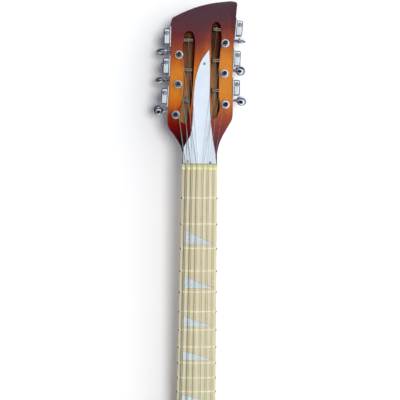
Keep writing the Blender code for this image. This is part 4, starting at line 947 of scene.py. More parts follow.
def make_inlays():
    """The pearl with the dark line of filler round it, and the pins."""
    dark = toned("dark_pin", [(0.3, 26, 20, 20), (0.7, 42, 34, 32)], 900.0, (0.3, 0.5), detail=2.0)
    bands = [(0.30, 188, 204, 204), (0.45, 206, 222, 222), (0.58, 222, 230, 234), (0.72, 200, 206, 222)]
    pearl = toned("pearl", bands, 220.0, (0.16, 0.30), detail=4.0, distortion=2.5,
                  Coat_Weight=0.4, Coat_Roughness=0.03)
    inlays = painted(triangles("pearl", 0.0, PEARL_STAND), pearl)
    piece("pearl_inlays", inlays, "white_plastic", "fingerboard")
    piece("inlay_lines", painted(triangles("lines", INLAY_LINE, LINE_STAND), dark), "maple", "fingerboard")
    # The pins are painted shade: dark dots where the ends of the fret slots lie in shade.
    outward, upward = FRET_PIN_FACING
    places = []
    facings = []
    for number in range(1, FRET_COUNT + 1):
        y = fret_y(number)
        x = half_width(y) - BOARD_EDGE * FRET_PIN_INSET
        for side in (-1, 1):
            places.append(Vector((side * x, y - FRET_WIDTH / 4, BOARD_TOP - crown_drop(x) - BOARD_EDGE / 3)))
            facings.append(Vector((side * outward, 0.0, upward)))
    pins = fixed_on("fret_pins", drum(1.0, -1.0, 0.2, 12), places, facings, FRET_PIN_RADIUS, dark)
    piece("fret_pins", pins, "maple", "fingerboard")


make_board()
make_frets()
make_inlays()


# Nut: a block of bone the colour of old ivory, glued at the end of the board. Its top follows the
# board's camber and has a filed groove for each string.
NUT_HEIGHT = 0.0026
ACTION_AT_NUT = 0.0015
ACTION_AT_BRIDGE = 0.0041
COURSE_SPAN_NUT = 0.0330
COURSE_SPAN_BRIDGE = 0.0480
PAIR_SPACING_NUT = 0.0019
PAIR_SPACING_BRIDGE = 0.0025
PAIR_SPACING_TAIL = 0.0037
NUT_CREST = [
    (0.0, 0.0008), (0.0003, 0.0002), (0.0009, 0.0), (0.0020, 0.0001), (0.0026, 0.0004), (0.0031, 0.0010),
    (0.0036, 0.0018), (0.0042, 0.0030),
]
NUT_FOOT_LIFT = 0.0004
NUT_GROOVE_PLAY = 0.00012
NUT_GROOVE_DEPTH = 0.0001
BLOCK_COLUMNS = 24
GROOVE_COLUMNS = (-1.05, -1.0, -0.7, -0.35, 0.0, 0.35, 0.7, 1.0, 1.05)
STRING_GAUGES = [
    (0.00107, 0.00066), (0.00086, 0.00043), (0.00066, 0.00030),
    (0.00043, 0.00025), (0.00033, 0.00033), (0.00028, 0.00028),
]
COURSE_POSTS = ["bass_1", "bass_2", "bass_3", "treble_3", "treble_2", "treble_1"]


def string_rows():
    """Course, gauge, post and place across at the nut, bridge and tail of each of the twelve strings."""
    rows = []
    last = len(STRING_GAUGES) - 1
    for course, gauges in enumerate(STRING_GAUGES):
        across = course / last - 0.5
        side = -1 if course <= last // 2 else 1
        for kind, outer, gauge in zip(("face", "slot"), (1, -1), gauges):
            shift = side * outer / 2
            rows.append({
                "course": course, "radius": gauge / 2, "post": f"{kind}_{COURSE_POSTS[course]}",
                "nut_x": across * COURSE_SPAN_NUT + shift * PAIR_SPACING_NUT,
                "bridge_x": across * COURSE_SPAN_BRIDGE + shift * PAIR_SPACING_BRIDGE,
                "tail_x": across * COURSE_SPAN_BRIDGE + shift * PAIR_SPACING_TAIL,
            })
    return rows


STRINGS = string_rows()


def string_height(x, y, radius):
    """Height of a string's centre line between the nut and the bridge."""
    share = (NUT_Y - y) / SCALE_LENGTH
    action = ACTION_AT_NUT + (ACTION_AT_BRIDGE - ACTION_AT_NUT) * share
    return BOARD_TOP + action - crown_drop(x) + radius


def notched(low_x, high_x, foot, crest, grooves):
    """A block along X over a foot of (y, z) points, whose crest sinks where a string's groove crosses it.

    The foot's first point comes before the crest and the others after it. A groove is (x, half width,
    floor z).
    """
    stops = {low_x + (high_x - low_x) * i / BLOCK_COLUMNS for i in range(BLOCK_COLUMNS + 1)}
    stops |= {low_x, high_x}
    for x, wide, floor in grooves:
        stops.update(x + wide * a for a in GROOVE_COLUMNS)
    rings = []
    for x in sorted(stop for stop in stops if low_x <= stop <= high_x):
        floors = [floor + wide * (1 - math.sqrt(1 - ((x - middle) / wide) ** 2))
                  for middle, wide, floor in grooves if abs(x - middle) <= wide]
        tops = [Vector((x, y, min([z - crown_drop(x), *floors]))) for y, z in crest]
        first, *others = [Vector((x, y, z)) for y, z in foot]
        rings.append([first, *tops, *others])
    return loft(rings)


def make_nut():
    tones = [(0.3, 232, 228, 158), (0.5, 242, 240, 182), (0.7, 248, 246, 200)]
    bone = toned("bone", tones, 1.0, (0.28, 0.42),
                 detail=4.0, stretch=(90.0, 500.0, 500.0), Subsurface_Weight=0.05,
                 Subsurface_Radius=(0.002, 0.0015, 0.001))
    low = NECK_TOP + SEAT_GAP
    end = NUT_Y + NUT_LENGTH
    foot = [(NUT_Y, low), (end, low + NUT_FOOT_LIFT), (end, low)]
    crest = [(NUT_Y + back, BOARD_TOP + NUT_HEIGHT - drop) for back, drop in NUT_CREST]
    grooves = [(row["nut_x"], row["radius"] + NUT_GROOVE_PLAY,
                string_height(row["nut_x"], NUT_Y, 0.0) - NUT_GROOVE_DEPTH) for row in STRINGS]
    nut = notched(-NUT_WIDTH / 2, NUT_WIDTH / 2, foot, crest, grooves)
    piece("nut_bone", painted(nut, bone), "bone", "nut")


make_nut()


# White plate: a plastic cover over the truss rod's pocket, from the nut to the middle of the head.
# It is cut from white sheet with bevelled edges and held by three small screws.
COVER_OUTLINE = [
    (0.0204, 0.0062, CORNER), (0.0188, 0.0200), (0.0159, 0.0354), (0.0136, 0.0520),
    (0.0119, 0.0730), (0.0114, 0.0940), (0.0114, 0.1220), (0.0103, 0.1446, CORNER),
    (0.0024, 0.1340), (-0.0045, 0.1160), (-0.0081, 0.0908), (-0.0089, 0.0660), (-0.0102, 0.0477),
    (-0.0126, 0.0386), (-0.0171, 0.0316), (-0.0201, 0.0238), (-0.0205, 0.0062, CORNER),
]
COVER_SCREWS = [(0.0048, 0.1277), (-0.0148, 0.0088), (0.0129, 0.0078)]
COVER_SCREW_RADIUS = 0.0016
COVER_SCREW_SINK = 0.0001
COVER_BEVEL = 0.0004
SCREW_DOME = [(1.0, -0.30), (1.0, 0.02), (0.93, 0.16), (0.78, 0.27), (0.62, 0.33)]
CROSS_REACH = 0.50
CROSS_ARM = 0.11
CROSS_SECTIONS = [(0.36, 1.0), (-0.05, 0.72)]
WHITE_SHEET = toned("white_sheet", [(0.3, 216, 228, 240), (0.7, 226, 236, 248)], 30.0, (0.20, 0.34), 60.0)


def screw_head(sides=24):
    """A domed head of unit radius with a cross recess, its rim at z = 0."""
    rings = [[polar(radius, 2 * math.pi * i / sides, height) for i in range(sides)]
             for radius, height in SCREW_DOME]
    reach = CROSS_REACH
    arm = CROSS_ARM
    middle = (reach + arm) / 2
    corner = [(reach, 0.0), (reach, arm), (middle, arm), (arm, arm), (arm, middle), (arm, reach)]
    for height, size in CROSS_SECTIONS:
        rings.append([Matrix.Rotation(quarter * math.pi / 2, 3, "Z") @ Vector((x * size, y * size, height))
                      for quarter in range(4) for x, y in corner])
    return loft(rings)


def make_cover():
    top = SEAT_GAP + COVER_THICKNESS
    plate = slab("cover", smooth_line(COVER_OUTLINE), SEAT_GAP, top, COVER_BEVEL, 2)
    piece("truss_rod_plate", painted(moved(plate, HEAD), WHITE_SHEET), "white_plastic", "truss_rod_cover")
    places = [HEAD @ Vector((u, v, top - COVER_SCREW_SINK)) for u, v in COVER_SCREWS]
    screws("plate_screws", places, HEAD_OUT, COVER_SCREW_RADIUS, "truss_rod_cover")


make_cover()


# Tuners: twelve worm tuners, six with their post through the head's face and six with it across a
# channel. Each has a plated case on a plate with two screws, a toothed post and a worm with a
# metal button on its shaft; a turned collar carries the post through the wood.
RUN_GAP = 0.0003
WORM_OFFSET = 0.0068
WORM_HEIGHT = -0.0053
WORM_CREST_RADIUS = 0.0029
WORM_SHAFT_RADIUS = 0.0018
WORM_TURNS = 2.0
WHEEL_TEETH = 14
WHEEL_TIP_RADIUS = 0.00475
WHEEL_ROOT_RADIUS = 0.0033
WHEEL_THICKNESS = 0.0024
TOOTH_PLAY = 0.00035
POST_RADIUS = 0.0030
POST_HOLE_RADIUS = 0.0008
POST_BORE_RADIUS = 0.0021
POST_BORE_DEPTH = 0.0020
POST_BEVEL = 0.0003
POST_TOP_ROUND = [(0.0001, 0.0001), (0.0, 0.0004)]
FERRULE_RADIUS = 0.0053
FERRULE_HEIGHT = 0.0018
FERRULE_RIM = [(0.0011, 0.0), (0.0004, 0.0003), (0.0, 0.0010)]
PLATE_THICKNESS = 0.0010
PLATE_LENGTH = 0.0250
PLATE_WIDTH = 0.0130
CASE_HALF_WIDTH = 0.0060
CASE_NEAR_END = 0.0068
CASE_FAR_END = 0.0125
CASE_HEIGHT = 0.0080
CASE_WALL = 0.0008
CASE_ROUND = 0.0022
CASE_FLAT = 0.9
PLATE_ROUND = 0.0003
CASE_MIDDLE = (CASE_FAR_END - CASE_NEAR_END) / 2
TUNER_PLATE_LOW = -SEAT_GAP - PLATE_THICKNESS
CASE_FLOOR = TUNER_PLATE_LOW - CASE_HEIGHT
SEAM_WIDTH = 0.0007
SEAM_DEPTH = 0.00035
BOSS_SEAT = 0.97
BOSS = [(0.0, 0.0008), (0.0022, 0.0008), (0.0026, 0.0004), (0.0026, -0.0012), (0.0, -0.0012)]
TUNER_SCREW_RADIUS = 0.0015
TUNER_SCREW_INSET = 1.05
TUNER_SCREW_SINK = 0.0002
BUTTON_REACH = 0.0215
BUTTON_LENGTH = 0.0125
BUTTON_HALF_WIDTH = 0.0068
BUTTON_HALF_THICKNESS = 0.0038
BUTTON_SIDES = 32
SHAFT_END = [(0.0, 0.0004), (0.0001, 0.0008), (0.0003, 0.0013), (0.0006, 0.0016), (0.0010, WORM_SHAFT_RADIUS)]
SHAFT_COLLAR = [(-0.0030, WORM_SHAFT_RADIUS), (-0.0028, 0.0023), (-0.0018, 0.0025), (-0.0006, 0.0024),
                (0.0, 0.0024)]
BUTTON_SECTIONS = [
    (0.06, 0.55, 0.66), (0.14, 0.76, 0.80), (0.24, 0.89, 0.92), (0.36, 0.965, 0.99), (0.50, 1.0, 1.0),
    (0.64, 0.96, 0.94), (0.76, 0.88, 0.83), (0.86, 0.76, 0.68), (0.93, 0.62, 0.52), (0.98, 0.46, 0.36),
    (1.0, 0.34, 0.24),
]
BUTTON_TURNS = {
    "face_bass_1": 20, "face_bass_2": 62, "face_bass_3": 75, "face_treble_1": 15, "face_treble_2": 5,
    "face_treble_3": 60, "slot_bass_1": 30, "slot_bass_2": 80, "slot_bass_3": 0, "slot_treble_1": 55,
    "slot_treble_2": 10, "slot_treble_3": 90,
}
WIND_POINTS_PER_TURN = 28
WIND_MOST_TURNS = 4.2
WIND_SPARE = 0.00008
WIND_START = {
    "slot_bass_1": 0.0175, "slot_bass_2": 0.0155, "slot_bass_3": 0.0155, "slot_treble_1": 0.0185,
    "slot_treble_2": 0.0185, "slot_treble_3": 0.0200,
}
FACE_WIND_HEIGHT = 0.0062
WIND_BELOW_TOP = 0.0012
WIND_PLAY = 0.00004
STRING_FALL = 0.0002
WORM_PLACE = axes(Vector((0.0, WORM_OFFSET, WORM_HEIGHT)), Y, Z, X)


def turned(profile, sides=32, loop=False):
    """A turned mesh about Z from (radius, height) points; a radius of 0 closes it in a pole."""
    bm = bmesh.new()
    rings = []
    for radius, height in profile:
        angles = [2 * math.pi * i / sides for i in range(sides if radius else 1)]
        rings.append([bm.verts.new(polar(radius, angle, height)) for angle in angles])
    pairs = list(zip(rings, rings[1:]))
    if loop:
        pairs.append((rings[-1], rings[0]))
    for upper, lower in pairs:
        for i in range(sides):
            j = (i + 1) % sides
            corners = [ring[k % len(ring)] for ring, k in ((upper, i), (lower, i), (lower, j), (upper, j))]
            distinct = list(dict.fromkeys(corners))
            if len(distinct) > 2:
                bm.faces.new(distinct)
    return made("turned", bm)


def case_mesh(kind):
    """Plate, pressed cover with its bosses, and the collar that carries the post."""
    wide = CASE_HALF_WIDTH
    plate = block((-PLATE_WIDTH / 2, CASE_MIDDLE - PLATE_LENGTH / 2, TUNER_PLATE_LOW),
                  (PLATE_WIDTH / 2, CASE_MIDDLE + PLATE_LENGTH / 2, -SEAT_GAP), PLATE_ROUND, 2)
    cover_top = TUNER_PLATE_LOW + PLATE_THICKNESS / 2
    cover = block((-wide, -CASE_NEAR_END, CASE_FLOOR), (wide, CASE_FAR_END, cover_top + CASE_ROUND),
                  CASE_ROUND, 4)
    seam_high = TUNER_PLATE_LOW - SEAT_GAP
    seam_low = seam_high - SEAM_WIDTH
    core = block((SEAM_DEPTH - wide, SEAM_DEPTH - CASE_NEAR_END, seam_low - SEAT_GAP),
                 (wide - SEAM_DEPTH, CASE_FAR_END - SEAM_DEPTH, seam_high + SEAT_GAP))
    seam = worked("seam", block((-BEYOND, -BEYOND, seam_low), (BEYOND, BEYOND, seam_high)), cut=[core])
    above = block((-BEYOND, -BEYOND, cover_top), (BEYOND, BEYOND, BEYOND))
    joined = [worked("cover_pressing", cover, cut=[above, seam])]
    for side in (-1, 1):
        place = axes(Vector((side * wide * BOSS_SEAT, WORM_OFFSET, WORM_HEIGHT)), Y, Z, side * X)
        joined.append(moved(turned(BOSS), place))
    face = HEAD_THICKNESS + SEAT_GAP
    collar_top = face + FERRULE_HEIGHT if kind == "face" else SLOT_COLLAR_LENGTH
    joined.append(drum(POST_COLLAR_RADIUS, TUNER_PLATE_LOW, collar_top))
    if kind == "face":
        rim = [(FERRULE_RADIUS - inward, collar_top - drop) for inward, drop in FERRULE_RIM]
        joined.append(turned([(0.0, collar_top), *rim, (FERRULE_RADIUS, face), (0.0, face)], 48))
    way = drum(WORM_SHAFT_RADIUS + RUN_GAP / 2, -BUTTON_REACH, BUTTON_REACH)
    bores = [
        block((CASE_WALL - wide, CASE_WALL - CASE_NEAR_END, CASE_FLOOR + CASE_WALL),
              (wide - CASE_WALL, CASE_FAR_END - CASE_WALL, TUNER_PLATE_LOW), CASE_WALL, 2),
        drum(POST_RADIUS + RUN_GAP, TUNER_PLATE_LOW - CASE_WALL, collar_top + CASE_WALL),
        moved(way, WORM_PLACE),
    ]
    case = worked("case", plate, join=joined, cut=bores)
    # Flat faces take the pale plating; rounded faces take the darker chrome, a painted shade along the edges;
    # the seam groove takes near-black painted shade.
    finishes = []
    for side in case.polygons:
        flatness = max(abs(share) for share in side.normal)
        if side.center.z > -SEAT_GAP:
            flatness = abs(side.normal.z)
        elif abs(side.center.x) > wide + SEAT_GAP:
            flatness = abs(side.normal.x)
        in_seam = seam_low - SEAT_GAP / 2 < side.center.z < seam_high + SEAT_GAP / 2
        finishes.append(2 if in_seam else int(flatness <= CASE_FLAT))
    return case, finishes


def wheel_mesh():
    """The toothed wheel at the post's foot, in step with the worm."""
    rings = []
    for height in (-WHEEL_THICKNESS / 2, WHEEL_THICKNESS / 2):
        ring = []
        for i in range(WHEEL_TEETH * 4):
            angle = math.pi / 2 + 2 * math.pi * (i - 0.5) / (WHEEL_TEETH * 4)
            radius = WHEEL_TIP_RADIUS - TOOTH_PLAY if i % 4 in (0, 1) else WHEEL_ROOT_RADIUS
            ring.append(polar(radius, angle, WORM_HEIGHT + height))
        rings.append(ring)
    return loft(rings)


def post_mesh(name, place, hole_height, hole_angle):
    """A post with its wheel, a dished top and a cross hole for the string's end."""
    top = reach_of(f"post_{name}", place)
    foot = CASE_FLOOR + CASE_WALL + RUN_GAP
    bore = top - POST_BORE_DEPTH
    shaft = turned([
        (0.0, bore), (POST_BORE_RADIUS, bore), (POST_BORE_RADIUS, top - POST_BEVEL),
        (POST_BORE_RADIUS + POST_BEVEL, top), (POST_RADIUS - POST_BEVEL, top),
        *((POST_RADIUS - inward, top - drop) for inward, drop in POST_TOP_ROUND),
        (POST_RADIUS, foot + POST_BEVEL), (POST_RADIUS - POST_BEVEL, foot), (0.0, foot)])
    across = polar(1.0, hole_angle)
    hole = drum(POST_HOLE_RADIUS, -2 * POST_RADIUS, 2 * POST_RADIUS, 16)
    moved(hole, axes(Vector((0.0, 0.0, hole_height)), Z, Z.cross(across), across))
    return worked(f"post_{name}", shaft, join=[wheel_mesh()], cut=[hole])


def button_ring(turn, height, wide, thick, power=2.0):
    """A section of the button or its shaft, turned about its axis."""
    ring = []
    for i in range(BUTTON_SIDES):
        across, up, _ = polar(1.0, 2 * math.pi * i / BUTTON_SIDES)
        point = Vector((-wide * squared(across, power), thick * squared(up, power), height))
        ring.append(Matrix.Rotation(-math.radians(turn), 3, "Z") @ point)
    return ring


def thread_ring(height, pitch):
    """A section of the worm, with its thread where the pitch brings it."""
    ring = []
    for i in range(BUTTON_SIDES):
        lift = max(0.0, 1.0 - 4.0 * abs((height / pitch - i / BUTTON_SIDES) % 1.0 - 0.5))
        radius = WORM_SHAFT_RADIUS + (WORM_CREST_RADIUS - WORM_SHAFT_RADIUS) * lift
        ring.append(polar(radius, math.pi - 2 * math.pi * i / BUTTON_SIDES, height))
    return ring


def button_mesh(turn):
    """Worm shaft with its thread and collar, and a lens-shaped button, along Z."""
    pitch_radius = WORM_OFFSET - (WORM_CREST_RADIUS + WORM_SHAFT_RADIUS + RUN_GAP) / 2
    pitch = 2 * math.pi * min(pitch_radius, WHEEL_TIP_RADIUS) / WHEEL_TEETH
    half = pitch * WORM_TURNS / 2
    wall = CASE_HALF_WIDTH + 2 * SEAT_GAP
    start = BUTTON_REACH - BUTTON_LENGTH / 2
    before = [(height - wall, radius) for height, radius in SHAFT_END]
    before.append((-half - pitch / 4, WORM_SHAFT_RADIUS))
    after = [(half + pitch / 4, WORM_SHAFT_RADIUS)]
    after += [(start + height, radius) for height, radius in SHAFT_COLLAR]
    rings = [button_ring(turn, height, radius, radius) for height, radius in before]
    rings += [thread_ring(-half + pitch * i / 12, pitch) for i in range(int(WORM_TURNS * 12) + 1)]
    rings += [button_ring(turn, height, radius, radius) for height, radius in after]
    for share, wide, thick in BUTTON_SECTIONS:
        rings.append(button_ring(turn, start + BUTTON_LENGTH * share, BUTTON_HALF_WIDTH * wide,
                                 BUTTON_HALF_THICKNESS * thick, 2.0 - 0.45 * min(1.0, share * 4)))
    return loft(rings)


def behind_nut(row):
    """Where a string leaves the nut towards its post."""
    height = string_height(row["nut_x"], NUT_Y, row["radius"]) - STRING_FALL
    return Vector((row["nut_x"], NUT_Y + NUT_LENGTH, height))


def wind(row):
    """Points of a string's close turns round its post, with the last one and its angle."""
    name = row["post"]
    radius = row["radius"]
    place = TUNER_PLACES[name]
    local = place.inverted() @ behind_nut(row)
    touch = POST_RADIUS + radius + WIND_PLAY
    choices = []
    for sign in (1, -1):
        angle = math.atan2(local.y, local.x) + sign * math.acos(touch / local.xy.length)
        spot = polar(1.0, angle).xy
        around = 1 if (spot * touch - local.xy).dot(Vector((-spot.y, spot.x))) > 0 else -1
        choices.append((-spot.x, angle, around))
    angle, around = max(choices)[1:]
    if name.startswith("face"):
        begin = HEAD_THICKNESS + FACE_WIND_HEIGHT
        room = FACE_WIND_HEIGHT - SEAT_GAP - FERRULE_HEIGHT - radius - SEAT_GAP
        down = -1
    else:
        begin = abs(place.translation.x) - WIND_START[name]
        room = reach_of(f"post_{name}", place) - begin - radius - WIND_BELOW_TOP
        down = 1
    pitch = 2 * radius + WIND_SPARE
    points = []
    for i in range(round(min(WIND_MOST_TURNS, room / pitch) * WIND_POINTS_PER_TURN) + 1):
        turns = i / WIND_POINTS_PER_TURN
        at = angle + around * 2 * math.pi * turns
        points.append(polar(touch, at, begin + down * pitch * turns))
    return [place @ point for point in points], points[-1], at


def make_tuner(row):
    """One tuner, its post's hole where the string's turns end."""
    name = row["post"]
    kind = name.split("_")[0]
    place = TUNER_PLACES[name]
    case_shape, finishes = CASES[kind]
    case = painted(moved(case_shape.copy(), place), PLATED, EDGE_SHADE_CHROME, SEAM_SHADE_METAL)
    case.polygons.foreach_set("material_index", finishes)
    piece(f"tuner_case_{name}", case, "chrome", f"housing_{name}")
    out = PLATE_LENGTH / 2 - TUNER_SCREW_RADIUS * TUNER_SCREW_INSET
    rim = TUNER_PLATE_LOW + TUNER_SCREW_SINK
    places = [place @ Vector((0.0, CASE_MIDDLE + side * out, rim)) for side in (-1, 1)]
    facing = -(place.to_3x3() @ Z)
    screws(f"tuner_screws_{name}", places, facing, TUNER_SCREW_RADIUS, finish=CHROME, slot="chrome")
    last, angle = wind(row)[1:]
    # The slot posts take the chrome with the channels' wood painted in as a reflection.
    finish = CHROME if kind == "face" else WOOD_REFLECTION_CHROME
    post = painted(moved(post_mesh(name, place, last.z, angle), place), finish)
    piece(f"tuner_post_{name}", post, "steel", f"post_{name}", body=f"post_{name}")
    button = painted(moved(button_mesh(BUTTON_TURNS[name]), place @ WORM_PLACE), CHROME)
    piece(f"tuner_button_{name}", button, "chrome", f"button_{name}", body=f"button_{name}", crease=50.0)


def chrome(name, dark, pale):
    """Plating between a dark and a pale tone, faintly smudged by hands."""
    return toned(name, [(0.3, *dark), (0.7, *pale)], 120.0, (0.05, 0.14), 150.0, Metallic=1.0)


CHROME = chrome("chrome", (216, 222, 234), (232, 236, 246))
# Painted shade: a darker copy of the chrome for the cases' rounded edges, bosses and collars, which outlines
# them dark.
EDGE_SHADE_CHROME = chrome("aged_chrome", (104, 106, 114), (142, 144, 152))
# Painted shade: a near-black copy of the chrome for the seam groove under each case's plate.
SEAM_SHADE_METAL = chrome("seam_metal", (24, 26, 32), (46, 48, 56))
# Painted reflection: a warm copy of the chrome for the slot posts, which mirrors the stained wood of the
# channels in its colour.
WOOD_REFLECTION_CHROME = chrome("warm_chrome", (146, 126, 106), (188, 168, 140))
# Painted reflection: the cases' plating is pale blue-white and partly diffuse, standing in for the bright sky
# it mirrors.
PLATED = toned("plated_case", [(0.3, 232, 242, 251), (0.7, 240, 247, 254)], 90.0, (0.20, 0.32), 120.0,
               Metallic=0.4)
CASES = {kind: case_mesh(kind) for kind in ("face", "slot")}
for string in STRINGS:
    make_tuner(string)


# Pickups: two coils under black moulded covers on black mounting plates, each with a slotted steel
# pole screw under every string and four screws into the body.
PICKUP_TOP = 0.0425
PICKUP_CORNER = 0.0050
PICKUP_PANEL_INSET = 0.0026
PICKUP_PLATE = (0.0820, 0.0340)
PLATE_LOW = BODY_THICKNESS + SEAT_GAP
PLATE_HIGH = PLATE_LOW + 0.0020
POLE_RADIUS = 0.0017
POLE_PROFILE = [(0.0, 0.30), (0.80, 0.30), (0.94, 0.22), (1.0, 0.08), (1.0, -0.30), (0.0, -0.30)]
POLE_SLOT = ((-1.2, -0.14, 0.02), (1.2, 0.14, 0.5))
POLE_STAGGER = 0.0042
SMALL_SCREW_RADIUS = 0.0016
PICKUP_PLATE_CORNER = 0.004
PICKUP_SCREW_INSET = 0.0032
PICKUP_PANEL_RISE = 0.0006
PICKUP_PANEL_DEPTH = 0.0020
PICKUP_ROUND = 0.0020
PICKUP_PANEL_ROUND = 0.0004
PICKUP_PLATE_ROUND = 0.0005


def rounded(low, high, corner, steps=6):
    """A rectangle between two corners with round corners, as a closed line."""
    line = []
    inner = (low.x + corner, low.y + corner, high.x - corner, high.y - corner)
    for quarter, (x, y) in enumerate(((2, 3), (0, 3), (0, 1), (2, 1))):
        for i in range(steps + 1):
            line.append(Vector((inner[x], inner[y])) + polar(corner, math.pi / 2 * (quarter + i / steps)).xy)
    return line


def four_corners(low, high, inset, height):
    """The four places in the corners of a plate."""
    return [Vector((x, y, height)) for x in (low.x + inset, high.x - inset)
            for y in (low.y + inset, high.y - inset)]


BLACK = toned("black_moulding", [(0.3, 24, 24, 27), (0.7, 38, 38, 41)], 70.0, (0.20, 0.40), 60.0,
              pebble=2600.0)


def pole_screw():
    """A slotted round head of unit radius."""
    return worked("pole_screw", turned(POLE_PROFILE, 20), cut=[block(*POLE_SLOT)])


def make_pickup(name, y):
    wide, long, depth = PICKUP_WELL
    middle = Vector((0.0, y))
    half = Vector((wide / 2, long / 2))
    inset = Vector((PICKUP_PANEL_INSET, PICKUP_PANEL_INSET))
    shell = slab("shell", rounded(middle - half, middle + half, PICKUP_CORNER), BODY_THICKNESS - depth,
                 PICKUP_TOP - PICKUP_PANEL_RISE, PICKUP_ROUND, 4)
    line = rounded(middle - half + inset, middle + half - inset, PICKUP_CORNER - PICKUP_PANEL_INSET)
    panel = slab("panel", line, PICKUP_TOP - PICKUP_PANEL_DEPTH, PICKUP_TOP, PICKUP_PANEL_ROUND, 2)
    half = Vector(PICKUP_PLATE) / 2
    line = rounded(middle - half, middle + half, PICKUP_PLATE_CORNER)
    plate = slab("plate", line, PLATE_LOW, PLATE_HIGH, PICKUP_PLATE_ROUND, 2)
    cover = worked(f"{name}_cover", shell, join=[panel, plate])
    piece(f"{name}_cover", painted(cover, BLACK), "black_plastic", name)
    poles = []
    for row in STRINGS:
        x = row["bridge_x"] + (row["nut_x"] - row["bridge_x"]) * y / SCALE_LENGTH
        stagger = POLE_STAGGER if row["post"].startswith("slot") else -POLE_STAGGER
        poles.append(Vector((x, y + stagger, PICKUP_TOP)))
    screws(f"{name}_poles", poles, Z, POLE_RADIUS, name, head=pole_screw())
    corners = four_corners(middle - half, middle + half, PICKUP_SCREW_INSET, PLATE_HIGH)
    screws(f"{name}_screws", corners, Z, SMALL_SCREW_RADIUS, name)


for pickup, pickup_y in PICKUP_PLACES.items():
    make_pickup(pickup, pickup_y)


# Bridge: a plated base screwed to the body, with a saddle block for each pair of strings. A saddle
# stands on two grub screws, and a long screw through the base's rear lip draws it back.
BRIDGE_BASE = (Vector((-0.0420, -0.0180)), Vector((0.0420, 0.0100)))
LIP_HALF_LENGTH = 0.0335
LIP_THICKNESS = 0.0026
LIP_HEIGHT = 0.0048
LIP_INSET = 0.0003
PLATED_ROUND = 0.0006
METAL_OVERLAP = 0.0008
SADDLE_GAP = 0.0004
SADDLE_CREST = 0.0008
SADDLE_FOOT = 0.0008
SADDLE_GROOVE_PLAY = 0.0002
SADDLE_GROOVE_DEPTH = 0.00005
SADDLE_DROP = 0.0024
SADDLE_FRONT = 0.0034
SADDLE_BACK = -0.0050
DRAW_SCREW_RADIUS = 0.0009
DRAW_SCREW_HOLD = 0.001
BRIDGE_SCREW_RADIUS = 0.0019
BRIDGE_SCREW_INSET = 0.0042
BRIDGE_CORNER = 0.0035
DRAW_SCREW_HEIGHT = 0.0028
GRUB_RADIUS = 0.0010
GRUB_INSET = 0.0012
GRUB_Y = -0.0030
GRUB_SINK = 0.0014
GRUB_PROFILE = [
    (0.0, -0.45), (0.52, -0.40), (0.55, 0.02), (0.86, 0.04), (1.0, -0.08), (1.0, -0.5), (0.0, -0.5),
]
SADDLE_LINE = [
    (SADDLE_BACK, SADDLE_DROP + 0.0006), (SADDLE_BACK + 0.0006, SADDLE_DROP), (-0.0028, 0.0013),
    (-0.0012, 0.0003), (-0.0003, 0.0), (0.0006, 0.0001), (0.0018, 0.0008), (SADDLE_FRONT - 0.0004, 0.0019),
    (SADDLE_FRONT, SADDLE_DROP),
]


def make_bridge():
    low, high = BRIDGE_BASE
    base = slab("base", rounded(low, high, BRIDGE_CORNER), PLATE_LOW, PLATE_HIGH, PLATED_ROUND, 3)
    lip = block((-LIP_HALF_LENGTH, low.y + LIP_INSET, PLATE_HIGH - METAL_OVERLAP),
                (LIP_HALF_LENGTH, low.y + LIP_THICKNESS, PLATE_HIGH + LIP_HEIGHT), METAL_OVERLAP)
    piece("bridge_base", painted(worked("bridge_base", base, join=[lip]), CHROME), "chrome", "bridge")
    top = string_height(0.0, 0.0, 0.0) + SADDLE_CREST
    foot = [(y, PLATE_HIGH + SADDLE_FOOT) for y in (SADDLE_BACK, SADDLE_FRONT)]
    crest = [(y, top - drop) for y, drop in SADDLE_LINE]
    pitch = COURSE_SPAN_BRIDGE / (len(STRING_GAUGES) - 1)
    half = pitch / 2 - SADDLE_GAP
    saddles = []
    grubs = []
    heads = []
    rods = []
    for course in range(len(STRING_GAUGES)):
        middle = course * pitch - COURSE_SPAN_BRIDGE / 2
        grooves = [(row["bridge_x"], row["radius"] + SADDLE_GROOVE_PLAY,
                    string_height(row["bridge_x"], 0.0, 0.0) - SADDLE_GROOVE_DEPTH)
                   for row in STRINGS if row["course"] == course]
        saddles.append(notched(middle - half, middle + half, foot, crest, grooves))
        for x in (middle - half + GRUB_INSET, middle + half - GRUB_INSET):
            grubs.append(Vector((x, GRUB_Y, top - GRUB_SINK - crown_drop(x))))
        heads.append(Vector((middle, low.y, PLATE_HIGH + DRAW_SCREW_HEIGHT)))
        rod = drum(DRAW_SCREW_RADIUS, 0.0, SADDLE_BACK - low.y + DRAW_SCREW_HOLD, 16)
        rods.append(painted(moved(rod, axes(heads[-1], Z, X, Y)), STEEL))
    piece("bridge_saddles", painted(together("saddles", saddles), CHROME), "chrome", "bridge")
    fine = [fixed_on("grub_screws", turned(GRUB_PROFILE, 18), grubs, [Z] * len(grubs), GRUB_RADIUS, STEEL),
            fixed_on("draw_screws", screw_head(), heads, [-Y] * len(heads), SMALL_SCREW_RADIUS, STEEL)]
    piece("bridge_adjusters", together("adjusters", fine + rods), "steel", "bridge")
    corners = four_corners(low, high, BRIDGE_SCREW_INSET, PLATE_HIGH)
    screws("bridge_screws", corners, Z, BRIDGE_SCREW_RADIUS, "bridge")


make_bridge()


